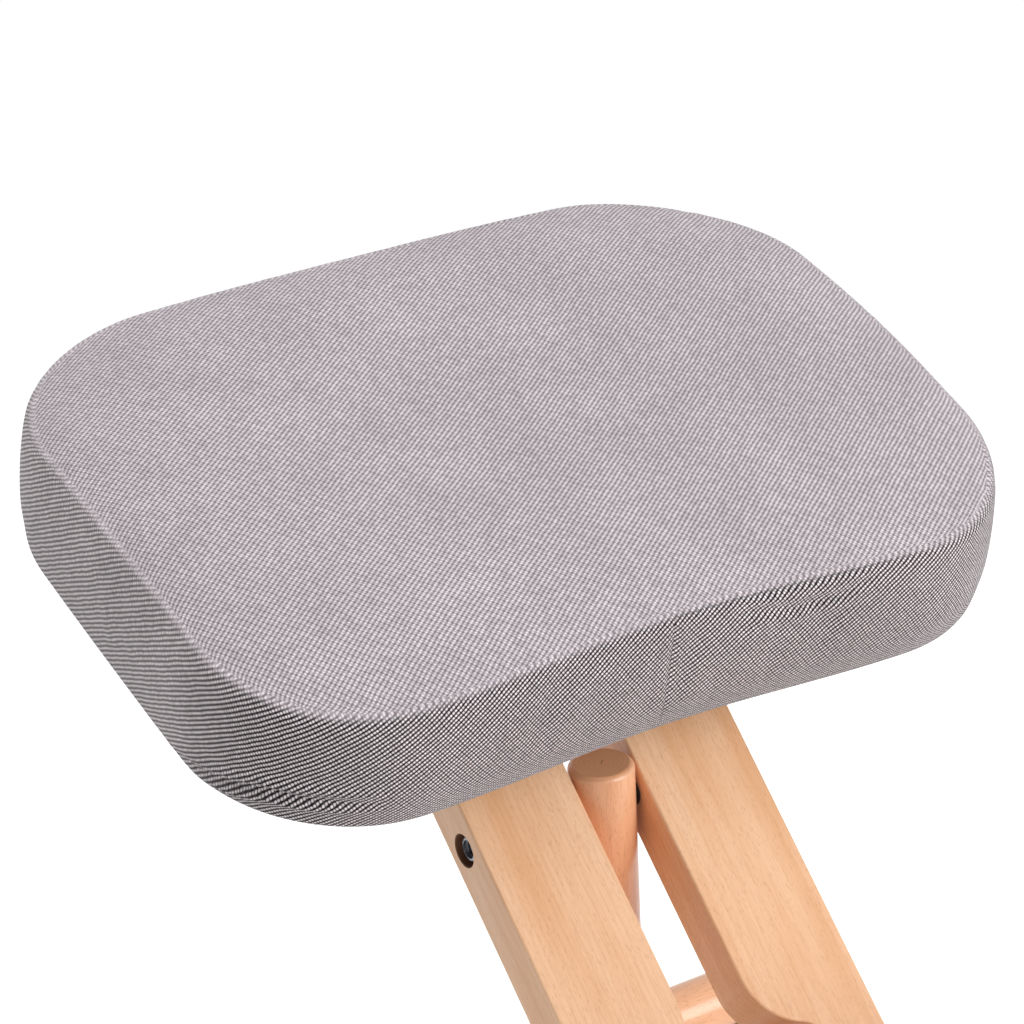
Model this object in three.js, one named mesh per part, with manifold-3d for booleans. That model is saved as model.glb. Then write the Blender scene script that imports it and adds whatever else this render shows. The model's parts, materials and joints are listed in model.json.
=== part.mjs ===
// Wooden kneeling chair in millimetres. +Z is up and the sitter faces -Y.
// Two pairs of beech rails cross at a bolt. The wide pair carries the tilted seat and stands on the front
// bar. The slotted pair carries the knee pad and stands on the rear bar. A round post hangs from the wide
// pair and is clamped in the slots of the other, which sets the seat's height.

import * as THREE from 'three';
import { mergeVertices } from 'three/addons/utils/BufferGeometryUtils.js';
import Module from 'manifold-3d';

const wasm = await Module();
wasm.setup();

// Fits
const CLEARANCE = 0.3;
const OVERRUN = 20;

// Round beech stock, used for the post and for both foot bars
const ROUND_STOCK = 38;
const POST_RIM = 3.6;
const BAR_LENGTH = 480;
const BAR_RIM = 6;

// Wide rails that carry the seat
const SEAT_RAIL_SLOPE = 43;
const SEAT_RAIL_WIDTH = 70;
const SEAT_RAIL_THICKNESS = 35;
const RAIL_EDGE = 2.5;
const NOTCH_START = 123;
const NOTCH_SHOULDER_RADIUS = 38;
const NOTCH_HOLLOW_RADIUS = 18;
const TIP_CLIP = 9;

// Slotted rails that carry the knee pad
const KNEE_RAIL_RISE = 20;
const KNEE_RAIL_WIDTH = 32;
const KNEE_RAIL_DEPTH = 45;
const KNEE_RAIL_NOSE = 16;
const KNEE_RAIL_SHORT_OF_BAR = 6;
const SLOT_TRAVEL = 90;
const SLOT_SIDE_PLAY = 1.2;

// Where the frame's corners are
const TOP_PIVOT_HEIGHT = 325;
const POST_HEAD = 25;
const POST_TAIL = 24;
const POST_SIDE_GAP = 1.6;
const REAR_BAR_SETBACK = 180;

// Seat
const SEAT_TILT = 15;
const SEAT_SETBACK = 97;
const SEAT_BOTTOM_HEIGHT = 455;
const SEAT = {
  width: 498,
  depth: 370,
  frontRadius: 98,
  rearRadius: 114,
  waist: 11,
  ridge: 70,
  crown: 9,
  lean: 5,
};

// Knee pad
const PAD_REACH = 577;
const PAD = {
  width: 450,
  depth: 205,
  frontRadius: 66,
  rearRadius: 66,
  waist: 6,
  ridge: 48,
  crown: 8,
  lean: 4,
};

// Boards inside the cushions and the cloth under them
const BOARD_THICKNESS = 12;
const BOARD_INSET = 9;
const DUST_COVER = 1;
const DUST_COVER_INSET = 22;
const HEM_ROUND = 5;

// Pivot bolts and their nuts, spacers and washers
const PIVOT_BOLT = 8;
const PIVOT_HEAD = 13;
const PIVOT_HEAD_HEIGHT = 7;
const PIVOT_SOCKET = 6;
const PIVOT_NUT_FLATS = 13;
const PIVOT_NUT_HEIGHT = 6.5;
const PIVOT_COUNTERBORE = 19;
const PIVOT_COUNTERBORE_DEPTH = 9.5;
const POST_SPACER = 16;
const PIVOT_WASHER = 24;
const PIVOT_WASHER_THICKNESS = 2;
const SLEEVE = 16;
const BOLT_END_RECESS = 2;

// Post clamp
const CLAMP_WASHER = 24;
const CLAMP_WASHER_THICKNESS = 1.6;
const CLAMP_HEAD = 19;
const CLAMP_HEAD_HEIGHT = 4.5;
const KNOB = 46;
const KNOB_LOBE_DEPTH = 3.2;
const KNOB_LOBES = 7;
const KNOB_RIM = 3;
const KNOB_THICKNESS = 16;
const KNOB_NECK = 24;
const KNOB_NECK_LENGTH = 9;
const KNOB_GRIP_ON_BOLT = 15;

// Board bolts with their tee nuts
const BOARD_BOLT = 6;
const BOARD_BOLT_HEAD = 10.5;
const BOARD_BOLT_HEAD_HEIGHT = 4;
const BOARD_BOLT_SOCKET = 4;
const BOARD_COUNTERBORE = 16;
const BOARD_BOLT_FLANGE = 14.8;
const BOARD_BOLT_FLANGE_THICKNESS = 1.2;
const TEE_NUT_BARREL = 8;
const TEE_NUT_BARREL_LENGTH = 9;
const TEE_NUT_FLANGE = 19;
const TEE_NUT_FLANGE_THICKNESS = 1.2;
const SEAT_BOLT_FROM_TIP = 47;
const SEAT_BOLT_SPACING = 36;
const SEAT_WOOD_UNDER_HEAD = 12;
const PAD_BOLT_SPACING = 120;
const PAD_WOOD_UNDER_HEAD = 24;

// Bolts that draw the foot bars onto the rails, and their barrel nuts
const BAR_BOLT = 6;
const BAR_BOLT_HEAD = 10;
const BAR_BOLT_HEAD_HEIGHT = 6;
const BAR_BOLT_SOCKET = 5;
const BAR_COUNTERBORE = 13;
const BAR_WOOD_UNDER_HEAD = 11;
const BARREL_NUT = 10;
const BARREL_NUT_LENGTH = 20;
const BARREL_NUT_FROM_BAR = 55;

// Feet under the bars
const GLIDE = 28;
const GLIDE_HEIGHT = 5;
const GLIDE_CHAMFER = 1;
const GLIDE_FROM_END = 30;
const GLIDE_PIN = 5;
const GLIDE_PIN_LENGTH = 16;

// Small chamfer of turned metal parts
const METAL_CHAMFER = 0.6;

// How finely round forms are divided
const STOCK_SIDES = 36;
const BORE_SIDES = 24;
const HOLE_SIDES = 16;
const SCREW_SIDES = 12;
const EDGE_STEPS = 2;
const RIM_STEPS = 3;
const CORNER_STEPS = 7;
const ARC_STEPS = 4;
const FRONT_STEPS = 12;
const REAR_STEPS = 4;
const SIDE_STEPS = 3;
const LOBE_STEPS = 6;
const DOME_STEPS = 4;

// Places worked out from the sizes above
const radians = THREE.MathUtils.degToRad;
const railSlope = radians(SEAT_RAIL_SLOPE);
const kneeRise = radians(KNEE_RAIL_RISE);
const stockRadius = ROUND_STOCK / 2;
const barHeight = GLIDE_HEIGHT + stockRadius;
const railInner = stockRadius + POST_SIDE_GAP;
const railOuter = railInner + SEAT_RAIL_WIDTH;
const kneeOuter = railInner + KNEE_RAIL_WIDTH;
const kneeMiddle = (railInner + kneeOuter) / 2;
const legInner = kneeOuter + PIVOT_WASHER_THICKNESS + 2 * CLEARANCE;
const legMiddle = (legInner + railOuter) / 2;
const footAlong = (TOP_PIVOT_HEIGHT - barHeight) / Math.sin(railSlope);
const frontBarY = -footAlong * Math.cos(railSlope);
const clampHeight = barHeight + REAR_BAR_SETBACK * Math.tan(kneeRise);
const postLength = TOP_PIVOT_HEIGHT - clampHeight;
const crossY = -postLength / (Math.tan(railSlope) + Math.tan(kneeRise));
const crossAlong = -crossY / Math.cos(railSlope);
const kneeCross = (REAR_BAR_SETBACK - crossY) / Math.cos(kneeRise);
const kneeClamp = REAR_BAR_SETBACK / Math.cos(kneeRise);
const pivotHole = PIVOT_BOLT + 2 * CLEARANCE;
const boardHole = BOARD_BOLT + 2 * CLEARANCE;
const barHole = BAR_BOLT + 2 * CLEARANCE;
const sides = [['left', -1], ['right', 1]];

// Materials
const finish = (color, roughness, metalness = 0) =>
  new THREE.MeshStandardMaterial({ color, roughness, metalness });
const beech = finish(0xe0b088, 0.5);
const beechRound = finish(0xc68f6c, 0.4);
const plywood = finish(0xc9a878, 0.7);
const cover = finish(0x9a8d93, 0.95);
const lining = finish(0x1c1c1e, 0.95);
const zinc = finish(0xb8bbbf, 0.35, 1);
const nylon = finish(0x1f1f20, 0.5);
const rubber = finish(0x2a2a2b, 0.85);
const plastic = finish(0x1a1a1b, 0.45);

// Solids: joining, cutting and basic forms

/** Turns a closed geometry into a solid that can be joined and cut. */
function toSolid(geometry) {
  const bare = geometry.clone();
  bare.deleteAttribute('normal');
  bare.deleteAttribute('uv');
  const merged = mergeVertices(bare);
  const triangles = [];
  for (let i = 0; i < merged.index.count; i += 3) {
    const [a, b, c] = merged.index.array.slice(i, i + 3);
    if (a !== b && b !== c && c !== a) triangles.push(a, b, c);
  }
  return new wasm.Manifold(new wasm.Mesh({
    numProp: 3,
    vertProperties: merged.attributes.position.array,
    triVerts: Uint32Array.from(triangles),
  }));
}

/** Turns a solid back into a geometry. */
function toGeometry(solid) {
  const mesh = solid.getMesh();
  const geometry = new THREE.BufferGeometry();
  geometry.setAttribute('position', new THREE.BufferAttribute(mesh.vertProperties, mesh.numProp));
  geometry.setIndex(new THREE.BufferAttribute(mesh.triVerts, 1));
  geometry.computeVertexNormals();
  return geometry;
}

/** Cuts every cutter out of a body. */
function cut(body, cutters) {
  return toGeometry(cutters.reduce((rest, cutter) => rest.subtract(toSolid(cutter)), toSolid(body)));
}

/** Joins two bodies that meet into one. */
const joined = (first, second) => toGeometry(toSolid(first).add(toSolid(second)));

const point = (x, y, z) => new THREE.Vector3(x, y, z);

/** Turns a form that stands on +Y at the origin so that it stands at a place and points along a way. */
function aimed(geometry, place, way) {
  const turn = new THREE.Quaternion().setFromUnitVectors(point(0, 1, 0), way.clone().normalize());
  return geometry.applyQuaternion(turn).translate(place.x, place.y, place.z);
}

/** A round rod from one point to another. */
function rod(diameter, from, to, count) {
  const way = to.clone().sub(from);
  const geometry = new THREE.CylinderGeometry(diameter / 2, diameter / 2, way.length(), count);
  return aimed(geometry, from.clone().add(to).divideScalar(2), way);
}

/** A round hole or rod across the chair, between two places on X. */
const crossRod = (diameter, x0, x1, y, z, count = HOLE_SIDES) =>
  rod(diameter, point(x0, y, z), point(x1, y, z), count);

/** A six-sided bar across its flats, standing on +Y from the origin. */
function hexagon(flats, height) {
  const geometry = new THREE.CylinderGeometry(flats / Math.sqrt(3), flats / Math.sqrt(3), height, 6);
  return geometry.translate(0, height / 2, 0);
}

/** Turns a profile of [radius, height] pairs about +Y. */
const turned = (profile, count) =>
  new THREE.LatheGeometry(profile.map(([radius, height]) => new THREE.Vector2(radius, height)), count);

/** A bolt with a socket head, flanged or plain, its head up +Y and the head's underside at the origin. */
function socketBolt({
  diameter,
  length,
  head,
  headHeight,
  socket,
  flange,
  flangeThickness,
  count = HOLE_SIDES,
}) {
  const rim = [[flange / 2, 0], [flange / 2, flangeThickness], [head / 2, flangeThickness]];
  const foot = flange ? rim : [[head / 2, 0]];
  const body = turned([
    [0, -length],
    [diameter / 2 - METAL_CHAMFER, -length],
    [diameter / 2, -length + METAL_CHAMFER],
    [diameter / 2, 0],
    ...foot,
    [head / 2, headHeight - METAL_CHAMFER],
    [head / 2 - METAL_CHAMFER, headHeight],
    [0, headHeight],
  ], count);
  return cut(body, [hexagon(socket, headHeight + OVERRUN).translate(0, headHeight / 2, 0)]);
}

/** A flat ring that stands on +Y from the origin. */
function ring(outer, inner, thickness, count = HOLE_SIDES) {
  return turned([
    [inner / 2, 0],
    [outer / 2, 0],
    [outer / 2, thickness],
    [inner / 2, thickness],
    [inner / 2, 0],
  ], count);
}

/** A hexagon nut with both rims chamfered. It stands on +Y from the origin. */
function hexNut(flats, bore, height) {
  const corner = flats / Math.sqrt(3);
  const rim = corner - flats / 2;
  const envelope = toSolid(turned([
    [0, 0],
    [flats / 2, 0],
    [corner, rim / 2],
    [corner, height - rim / 2],
    [flats / 2, height],
    [0, height],
  ], HOLE_SIDES));
  const body = toGeometry(toSolid(hexagon(flats, height)).intersect(envelope));
  return cut(body, [rod(bore, point(0, -OVERRUN, 0), point(0, height + OVERRUN, 0), HOLE_SIDES)]);
}

/** A plate from an outline on XY, its edges rounded where they have a size. It stands on +Z from z = 0. */
function plate(outline, thickness, edge) {
  const geometry = new THREE.ExtrudeGeometry(new THREE.Shape(outline), {
    depth: thickness - 2 * edge,
    bevelEnabled: edge > 0,
    bevelThickness: edge,
    bevelSize: edge,
    bevelOffset: -edge,
    bevelSegments: EDGE_STEPS,
  });
  return geometry.translate(0, 0, edge);
}

/** A round bar with rounded ends. It stands on +Y from the origin. */
function roundBar(diameter, length, rim) {
  const profile = [[0, 0]];
  for (let i = 0; i <= RIM_STEPS; i += 1) {
    const angle = (i / RIM_STEPS) * Math.PI / 2;
    profile.push([diameter / 2 - rim * (1 - Math.sin(angle)), rim * (1 - Math.cos(angle))]);
  }
  const upper = profile.map(([radius, height]) => [radius, length - height]).reverse();
  return turned([...profile, ...upper], STOCK_SIDES);
}

/** The waist's share of its depth, 1 in the middle of the edge and 0 where the edge meets a corner. */
const waistShare = (share) => (1 + Math.cos(Math.PI * share)) / 2;

/** A cushion's outline on XY, drawn anticlockwise and drawn in by an inset. Its front edge has a waist. */
function cushionOutline(size, inset) {
  const halfWidth = size.width / 2 - inset;
  const halfDepth = size.depth / 2 - inset;
  const frontRadius = size.frontRadius - inset;
  const rearRadius = size.rearRadius - inset;
  const outline = [];
  const arc = (x, y, radius, start) => {
    for (let i = 0; i < CORNER_STEPS; i += 1) {
      const angle = start + (i / CORNER_STEPS) * Math.PI / 2;
      outline.push(new THREE.Vector2(x + radius * Math.cos(angle), y + radius * Math.sin(angle)));
    }
  };
  const line = (from, to, steps, bend = () => 0) => {
    for (let i = 0; i < steps; i += 1) {
      const spot = from.clone().lerp(to, i / steps);
      outline.push(new THREE.Vector2(spot.x, spot.y + bend((2 * i) / steps - 1)));
    }
  };
  const frontX = halfWidth - frontRadius;
  const frontY = frontRadius - halfDepth;
  const rearX = halfWidth - rearRadius;
  const rearY = halfDepth - rearRadius;
  const spot = (x, y) => new THREE.Vector2(x, y);
  const waist = (share) => size.waist * waistShare(share);
  line(spot(-frontX, -halfDepth), spot(frontX, -halfDepth), FRONT_STEPS, waist);
  arc(frontX, frontY, frontRadius, -Math.PI / 2);
  line(spot(halfWidth, frontY), spot(halfWidth, rearY), SIDE_STEPS);
  arc(rearX, rearY, rearRadius, 0);
  line(spot(rearX, halfDepth), spot(-rearX, halfDepth), REAR_STEPS);
  arc(-rearX, rearY, rearRadius, Math.PI / 2);
  line(spot(-halfWidth, rearY), spot(-halfWidth, frontY), SIDE_STEPS);
  arc(-frontX, frontY, frontRadius, Math.PI);
  return outline;
}

/** A form skinned over rings of [outline, height], closed by a fan at both ends. */
function skinned(rings) {
  const count = rings[0].outline.length;
  const positions = [];
  const index = [];
  rings.forEach(({ outline, height }) => outline.forEach((spot) => positions.push(spot.x, spot.y, height)));
  const last = rings.length - 1;
  const lowCentre = rings.length * count;
  positions.push(0, 0, rings[0].height, 0, 0, rings[last].height);
  for (let i = 0; i < count; i += 1) {
    const next = (i + 1) % count;
    index.push(lowCentre, next, i);
    index.push(last * count + i, last * count + next, lowCentre + 1);
    for (let k = 0; k < last; k += 1) {
      const low = k * count;
      const high = low + count;
      index.push(low + i, low + next, high + next, low + i, high + next, high + i);
    }
  }
  const geometry = new THREE.BufferGeometry();
  geometry.setAttribute('position', new THREE.Float32BufferAttribute(positions, 3));
  geometry.setIndex(index);
  geometry.computeVertexNormals();
  return geometry;
}

// How a cushion's side leans in from its widest line, and how its top rises, as shares
const SIDE_SHARES = [[0.12, 0], [0.45, 0], [0.7, 0.14], [0.88, 0.5], [1, 1]];
const CROWN_SHARES = [0.975, 0.93, 0.85, 0.7, 0.45, 0.2];

/** A crowned cushion whose hollow underside takes its board. Its hem lies on z = 0. */
function cushion(size) {
  const rings = [];
  const add = (inset, height) => rings.push({ outline: cushionOutline(size, inset), height });
  add(BOARD_INSET - CLEARANCE, BOARD_THICKNESS + CLEARANCE);
  add(BOARD_INSET - CLEARANCE, 0);
  add(HEM_ROUND, 0);
  add(HEM_ROUND * (1 - Math.SQRT1_2), HEM_ROUND * (1 - Math.SQRT1_2));
  SIDE_SHARES.forEach(([share, leanShare]) => add(size.lean * leanShare, size.ridge * share));
  const ridge = cushionOutline(size, size.lean);
  CROWN_SHARES.forEach((share) => rings.push({
    outline: ridge.map((spot) => spot.clone().multiplyScalar(share)),
    height: size.ridge + size.crown * (1 - share ** 4),
  }));
  return skinned(rings);
}

// The moving and fixed frames, each with its own axes

/** A group whose +Y leans up towards the rear by an angle. */
function frameAt(y, z, angle) {
  const group = new THREE.Group();
  group.position.set(0, y, z);
  group.rotation.x = angle;
  group.updateMatrix();
  return group;
}

const chair = new THREE.Group();
const seatFrame = frameAt(0, TOP_PIVOT_HEIGHT, railSlope);
const seatUnit = frameAt(SEAT_SETBACK, SEAT_BOTTOM_HEIGHT, radians(SEAT_TILT));
const kneeFrame = frameAt(REAR_BAR_SETBACK, barHeight, -kneeRise);
const kneeUnit = frameAt(-PAD_REACH, KNEE_RAIL_DEPTH / 2 + CLEARANCE + DUST_COVER, 0);
const postUnit = frameAt(0, TOP_PIVOT_HEIGHT, 0);
const frontFoot = frameAt(frontBarY, barHeight, 0);
const rearFoot = frameAt(REAR_BAR_SETBACK, barHeight, 0);
kneeFrame.add(kneeUnit);
chair.add(seatFrame, seatUnit, kneeFrame, postUnit, frontFoot, rearFoot);

/** Names a piece and adds it to its group. */
function addPiece(group, name, geometry, material) {
  const piece = new THREE.Mesh(geometry, material);
  piece.name = name;
  group.add(piece);
}

// Seat places as the seat frame sees them
const seatToFrame = seatFrame.matrix.clone().invert().multiply(seatUnit.matrix);
const frameToSeat = seatToFrame.clone().invert();
const seatUnderside = -DUST_COVER - CLEARANCE;
const railToSeat = radians(SEAT_RAIL_SLOPE - SEAT_TILT);

/** How far up the seat frame's +Y a rail's face at a height z meets the seat's underside. */
function seatMeets(z) {
  const spot = point(0, 0, z).applyMatrix4(frameToSeat);
  return (seatUnderside - spot.z) / Math.sin(railToSeat);
}

const tipAlong = seatMeets(-SEAT_RAIL_THICKNESS / 2);
const tipY = point(0, tipAlong, -SEAT_RAIL_THICKNESS / 2).applyMatrix4(frameToSeat).y;
const seatBoltY = tipY - SEAT_BOLT_FROM_TIP;
const seatBoltPlaces = sides.flatMap(([, side]) => [-1, 1].map((end) => (
  [side * (railInner + (SEAT_RAIL_WIDTH + end * SEAT_BOLT_SPACING) / 2), seatBoltY])));
const padBoltPlaces = sides.flatMap(([, side]) => [-1, 1].map((end) => (
  [side * kneeMiddle, (end * PAD_BOLT_SPACING) / 2])));

/** The front outline of a wide rail: full width above, drawn out to a narrow leg below the post. */
function seatRailOutline(side) {
  const bend = NOTCH_SHOULDER_RADIUS + NOTCH_HOLLOW_RADIUS;
  const angle = Math.acos(1 - (legInner - railInner) / bend);
  const hollowY = -NOTCH_START - bend * Math.sin(angle);
  const outline = new THREE.Path();
  outline.moveTo(railOuter, -footAlong);
  outline.lineTo(railOuter, tipAlong + OVERRUN);
  outline.lineTo(railInner, tipAlong + OVERRUN);
  outline.lineTo(railInner, -NOTCH_START);
  outline.absarc(railInner + NOTCH_SHOULDER_RADIUS, -NOTCH_START, NOTCH_SHOULDER_RADIUS,
    Math.PI, Math.PI + angle, false);
  outline.absarc(legInner - NOTCH_HOLLOW_RADIUS, hollowY, NOTCH_HOLLOW_RADIUS, angle, 0, true);
  outline.lineTo(legInner, -footAlong);
  return outline.getPoints(ARC_STEPS).map((spot) => new THREE.Vector2(side * spot.x, spot.y));
}

/** A wide rail, with its seat bevel, pivot holes, foot saddle and bolt holes. */
function seatRail(side) {
  const body = plate(seatRailOutline(side), SEAT_RAIL_THICKNESS, RAIL_EDGE);
  body.translate(0, 0, -SEAT_RAIL_THICKNESS / 2);
  const size = footAlong + tipAlong;
  const aboveSeat = new THREE.BoxGeometry(size, size, size);
  aboveSeat.translate(0, 0, size / 2 + seatUnderside).applyMatrix4(seatToFrame);
  const pastTip = new THREE.BoxGeometry(size, size, size);
  pastTip.translate(0, size / 2 + tipY - TIP_CLIP, 0).applyMatrix4(seatToFrame);
  const cutters = [aboveSeat, pastTip];
  [0, -crossAlong].forEach((along) => {
    cutters.push(crossRod(pivotHole, 0, side * (railOuter + OVERRUN), along, 0));
    cutters.push(crossRod(PIVOT_COUNTERBORE, side * (railOuter - PIVOT_COUNTERBORE_DEPTH),
      side * (railOuter + OVERRUN), along, 0, BORE_SIDES));
  });
  cutters.push(crossRod(ROUND_STOCK + 2 * CLEARANCE, 0, side * (railOuter + OVERRUN), -footAlong, 0,
    STOCK_SIDES));
  cutters.push(crossRod(BARREL_NUT + 2 * CLEARANCE, side * (legMiddle - BARREL_NUT_LENGTH / 2 - CLEARANCE),
    side * (railOuter + OVERRUN), BARREL_NUT_FROM_BAR - footAlong, 0));
  cutters.push(rod(barHole, point(side * legMiddle, -footAlong, 0),
    point(side * legMiddle, 2 * BARREL_NUT_FROM_BAR - footAlong, 0), HOLE_SIDES));
  seatBoltPlaces.filter(([x]) => x * side > 0).forEach(([x, y]) => {
    const floor = seatUnderside - SEAT_WOOD_UNDER_HEAD;
    const deep = floor - 2 * SEAT_RAIL_THICKNESS;
    const hole = rod(boardHole, point(x, y, deep), point(x, y, OVERRUN), HOLE_SIDES);
    const counterbore = rod(BOARD_COUNTERBORE, point(x, y, deep), point(x, y, floor), HOLE_SIDES);
    cutters.push(hole.applyMatrix4(seatToFrame), counterbore.applyMatrix4(seatToFrame));
  });
  return cut(body, cutters);
}

/** The side outline of a slotted rail, drawn on XY as along and height, its nose forwards at -X. */
function kneeRailOutline() {
  const half = KNEE_RAIL_DEPTH / 2;
  const front = PAD.depth / 2 + PAD_REACH - KNEE_RAIL_DEPTH / 2;
  const outline = new THREE.Path();
  outline.moveTo(-KNEE_RAIL_SHORT_OF_BAR, -half);
  outline.lineTo(-KNEE_RAIL_SHORT_OF_BAR, half);
  outline.lineTo(-front + KNEE_RAIL_NOSE, half);
  const noseX = KNEE_RAIL_NOSE - front;
  outline.absarc(noseX, half - KNEE_RAIL_NOSE, KNEE_RAIL_NOSE, Math.PI / 2, Math.PI, false);
  outline.lineTo(-front, KNEE_RAIL_NOSE - half);
  outline.absarc(noseX, KNEE_RAIL_NOSE - half, KNEE_RAIL_NOSE, Math.PI, 1.5 * Math.PI, false);
  return outline.getPoints(ARC_STEPS);
}

/** A slotted rail, with its saddle, slot, pivot hole and bolt holes. */
function kneeRail(side) {
  const alongY = new THREE.Matrix4().makeBasis(point(0, 1, 0), point(0, 0, 1), point(1, 0, 0));
  const body = plate(kneeRailOutline(), KNEE_RAIL_WIDTH, RAIL_EDGE);
  body.translate(0, 0, -KNEE_RAIL_WIDTH / 2).applyMatrix4(alongY).translate(side * kneeMiddle, 0, 0);
  const through = (diameter, y, count) => crossRod(diameter, 0, side * (kneeOuter + OVERRUN), y, 0, count);
  const slotWidth = PIVOT_BOLT + 2 * SLOT_SIDE_PLAY;
  const slotEnds = [-1, 1].map((end) => -kneeClamp + (end * SLOT_TRAVEL) / 2);
  const slotWeb = new THREE.BoxGeometry(2 * (kneeOuter + OVERRUN), SLOT_TRAVEL, slotWidth);
  const cutters = [
    through(ROUND_STOCK + 2 * CLEARANCE, 0, STOCK_SIDES),
    through(pivotHole, -kneeCross, HOLE_SIDES),
    ...slotEnds.map((y) => through(slotWidth, y, HOLE_SIDES)),
    slotWeb.translate(0, -kneeClamp, 0),
    crossRod(BARREL_NUT + 2 * CLEARANCE, side * (kneeMiddle - BARREL_NUT_LENGTH / 2 - CLEARANCE),
      side * (kneeOuter + OVERRUN), -BARREL_NUT_FROM_BAR, 0),
    rod(barHole, point(side * kneeMiddle, 0, 0),
      point(side * kneeMiddle, -2 * BARREL_NUT_FROM_BAR, 0), HOLE_SIDES),
  ];
  padBoltPlaces.filter(([x]) => x * side > 0).forEach(([x, y]) => {
    const low = -KNEE_RAIL_DEPTH / 2 - OVERRUN;
    const floor = KNEE_RAIL_DEPTH / 2 - PAD_WOOD_UNDER_HEAD;
    const along = y - PAD_REACH;
    cutters.push(rod(boardHole, point(x, along, low), point(x, along, -low), HOLE_SIDES));
    cutters.push(rod(BOARD_COUNTERBORE, point(x, along, low), point(x, along, floor), HOLE_SIDES));
  });
  return cut(body, cutters);
}

/** Adds a cushion with its board, lining and tee nuts to a group. */
function addUpholstery(group, name, size, boltPlaces) {
  const board = plate(cushionOutline(size, BOARD_INSET), BOARD_THICKNESS, 0);
  const lid = plate(cushionOutline(size, DUST_COVER_INSET), DUST_COVER - CLEARANCE, 0);
  lid.translate(0, 0, -DUST_COVER);
  const flangeTop = BOARD_THICKNESS - CLEARANCE;
  const flangeFloor = flangeTop - TEE_NUT_FLANGE_THICKNESS;
  const bore = (diameter, low, high) => boltPlaces.map(([x, y]) => (
    rod(diameter, point(x, y, low), point(x, y, high), SCREW_SIDES)));
  const tee = turned([
    [boardHole / 2, -TEE_NUT_BARREL_LENGTH],
    [TEE_NUT_BARREL / 2, -TEE_NUT_BARREL_LENGTH],
    [TEE_NUT_BARREL / 2, 0],
    [TEE_NUT_FLANGE / 2, 0],
    [TEE_NUT_FLANGE / 2, TEE_NUT_FLANGE_THICKNESS],
    [boardHole / 2, TEE_NUT_FLANGE_THICKNESS],
    [boardHole / 2, -TEE_NUT_BARREL_LENGTH],
  ], SCREW_SIDES);
  addPiece(group, `${name}_cushion`, cushion(size), cover);
  addPiece(group, `${name}_board`, cut(board, [
    ...bore(TEE_NUT_BARREL + 2 * CLEARANCE, -OVERRUN, BOARD_THICKNESS + OVERRUN),
    ...bore(TEE_NUT_FLANGE + 2 * CLEARANCE, flangeFloor - CLEARANCE, BOARD_THICKNESS + OVERRUN),
  ]), plywood);
  addPiece(group, `${name}_dust_cover`, cut(lid, bore(boardHole, -OVERRUN, OVERRUN)), lining);
  boltPlaces.forEach(([x, y], i) => addPiece(group, `${name}_tee_nut_${i + 1}`,
    aimed(tee.clone(), point(x, y, flangeFloor), point(0, 0, 1)), zinc));
}

/** Adds the flanged bolts that hold a board to its rails, their heads below. */
function addBoardBolts(group, name, boltPlaces, headTop) {
  boltPlaces.forEach(([x, y], i) => addPiece(group, `${name}_bolt_${i + 1}`, aimed(
    socketBolt({
      diameter: BOARD_BOLT,
      length: BOARD_THICKNESS - CLEARANCE - headTop,
      head: BOARD_BOLT_HEAD,
      headHeight: BOARD_BOLT_HEAD_HEIGHT,
      socket: BOARD_BOLT_SOCKET,
      flange: BOARD_BOLT_FLANGE,
      flangeThickness: BOARD_BOLT_FLANGE_THICKNESS,
      count: SCREW_SIDES,
    }), point(x, y, headTop), point(0, 0, -1)), zinc));
}

/** Adds a foot bar with its glides. The rail's way is the direction of its bolts. */
function addFoot(group, name, railWay, boltX) {
  const way = railWay.clone().normalize();
  const at = (side, distance) => way.clone().multiplyScalar(distance).setX(side * boltX);
  const glideX = BAR_LENGTH / 2 - GLIDE_FROM_END;
  const bar = aimed(roundBar(ROUND_STOCK, BAR_LENGTH, BAR_RIM), point(-BAR_LENGTH / 2, 0, 0), point(1, 0, 0));
  const cutters = sides.flatMap(([, side]) => [
    rod(barHole, at(side, -ROUND_STOCK), at(side, ROUND_STOCK), HOLE_SIDES),
    rod(BAR_COUNTERBORE, at(side, -ROUND_STOCK), at(side, -BAR_WOOD_UNDER_HEAD), HOLE_SIDES),
    rod(GLIDE_PIN + 2 * CLEARANCE, point(side * glideX, 0, -ROUND_STOCK),
      point(side * glideX, 0, GLIDE_PIN_LENGTH - stockRadius), SCREW_SIDES),
  ]);
  addPiece(group, `${name}_foot_bar`, cut(bar, cutters), beechRound);
  const glide = turned([
    [0, 0],
    [GLIDE / 2 - GLIDE_CHAMFER, 0],
    [GLIDE / 2, GLIDE_CHAMFER],
    [GLIDE / 2, barHeight / 2],
    [0, barHeight / 2],
  ], HOLE_SIDES);
  const saddle = crossRod(ROUND_STOCK + 2 * CLEARANCE, -BAR_LENGTH, BAR_LENGTH, 0, 0, STOCK_SIDES);
  sides.forEach(([label, side]) => {
    const pad = cut(aimed(glide.clone(), point(side * glideX, 0, -barHeight), point(0, 0, 1)), [saddle]);
    const pin = rod(GLIDE_PIN, point(side * glideX, 0, GLIDE_HEIGHT / 2 - barHeight),
      point(side * glideX, 0, GLIDE_PIN_LENGTH - stockRadius - CLEARANCE), SCREW_SIDES);
    addPiece(group, `${name}_glide_${label}`, joined(pad, pin), rubber);
  });
}

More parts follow.
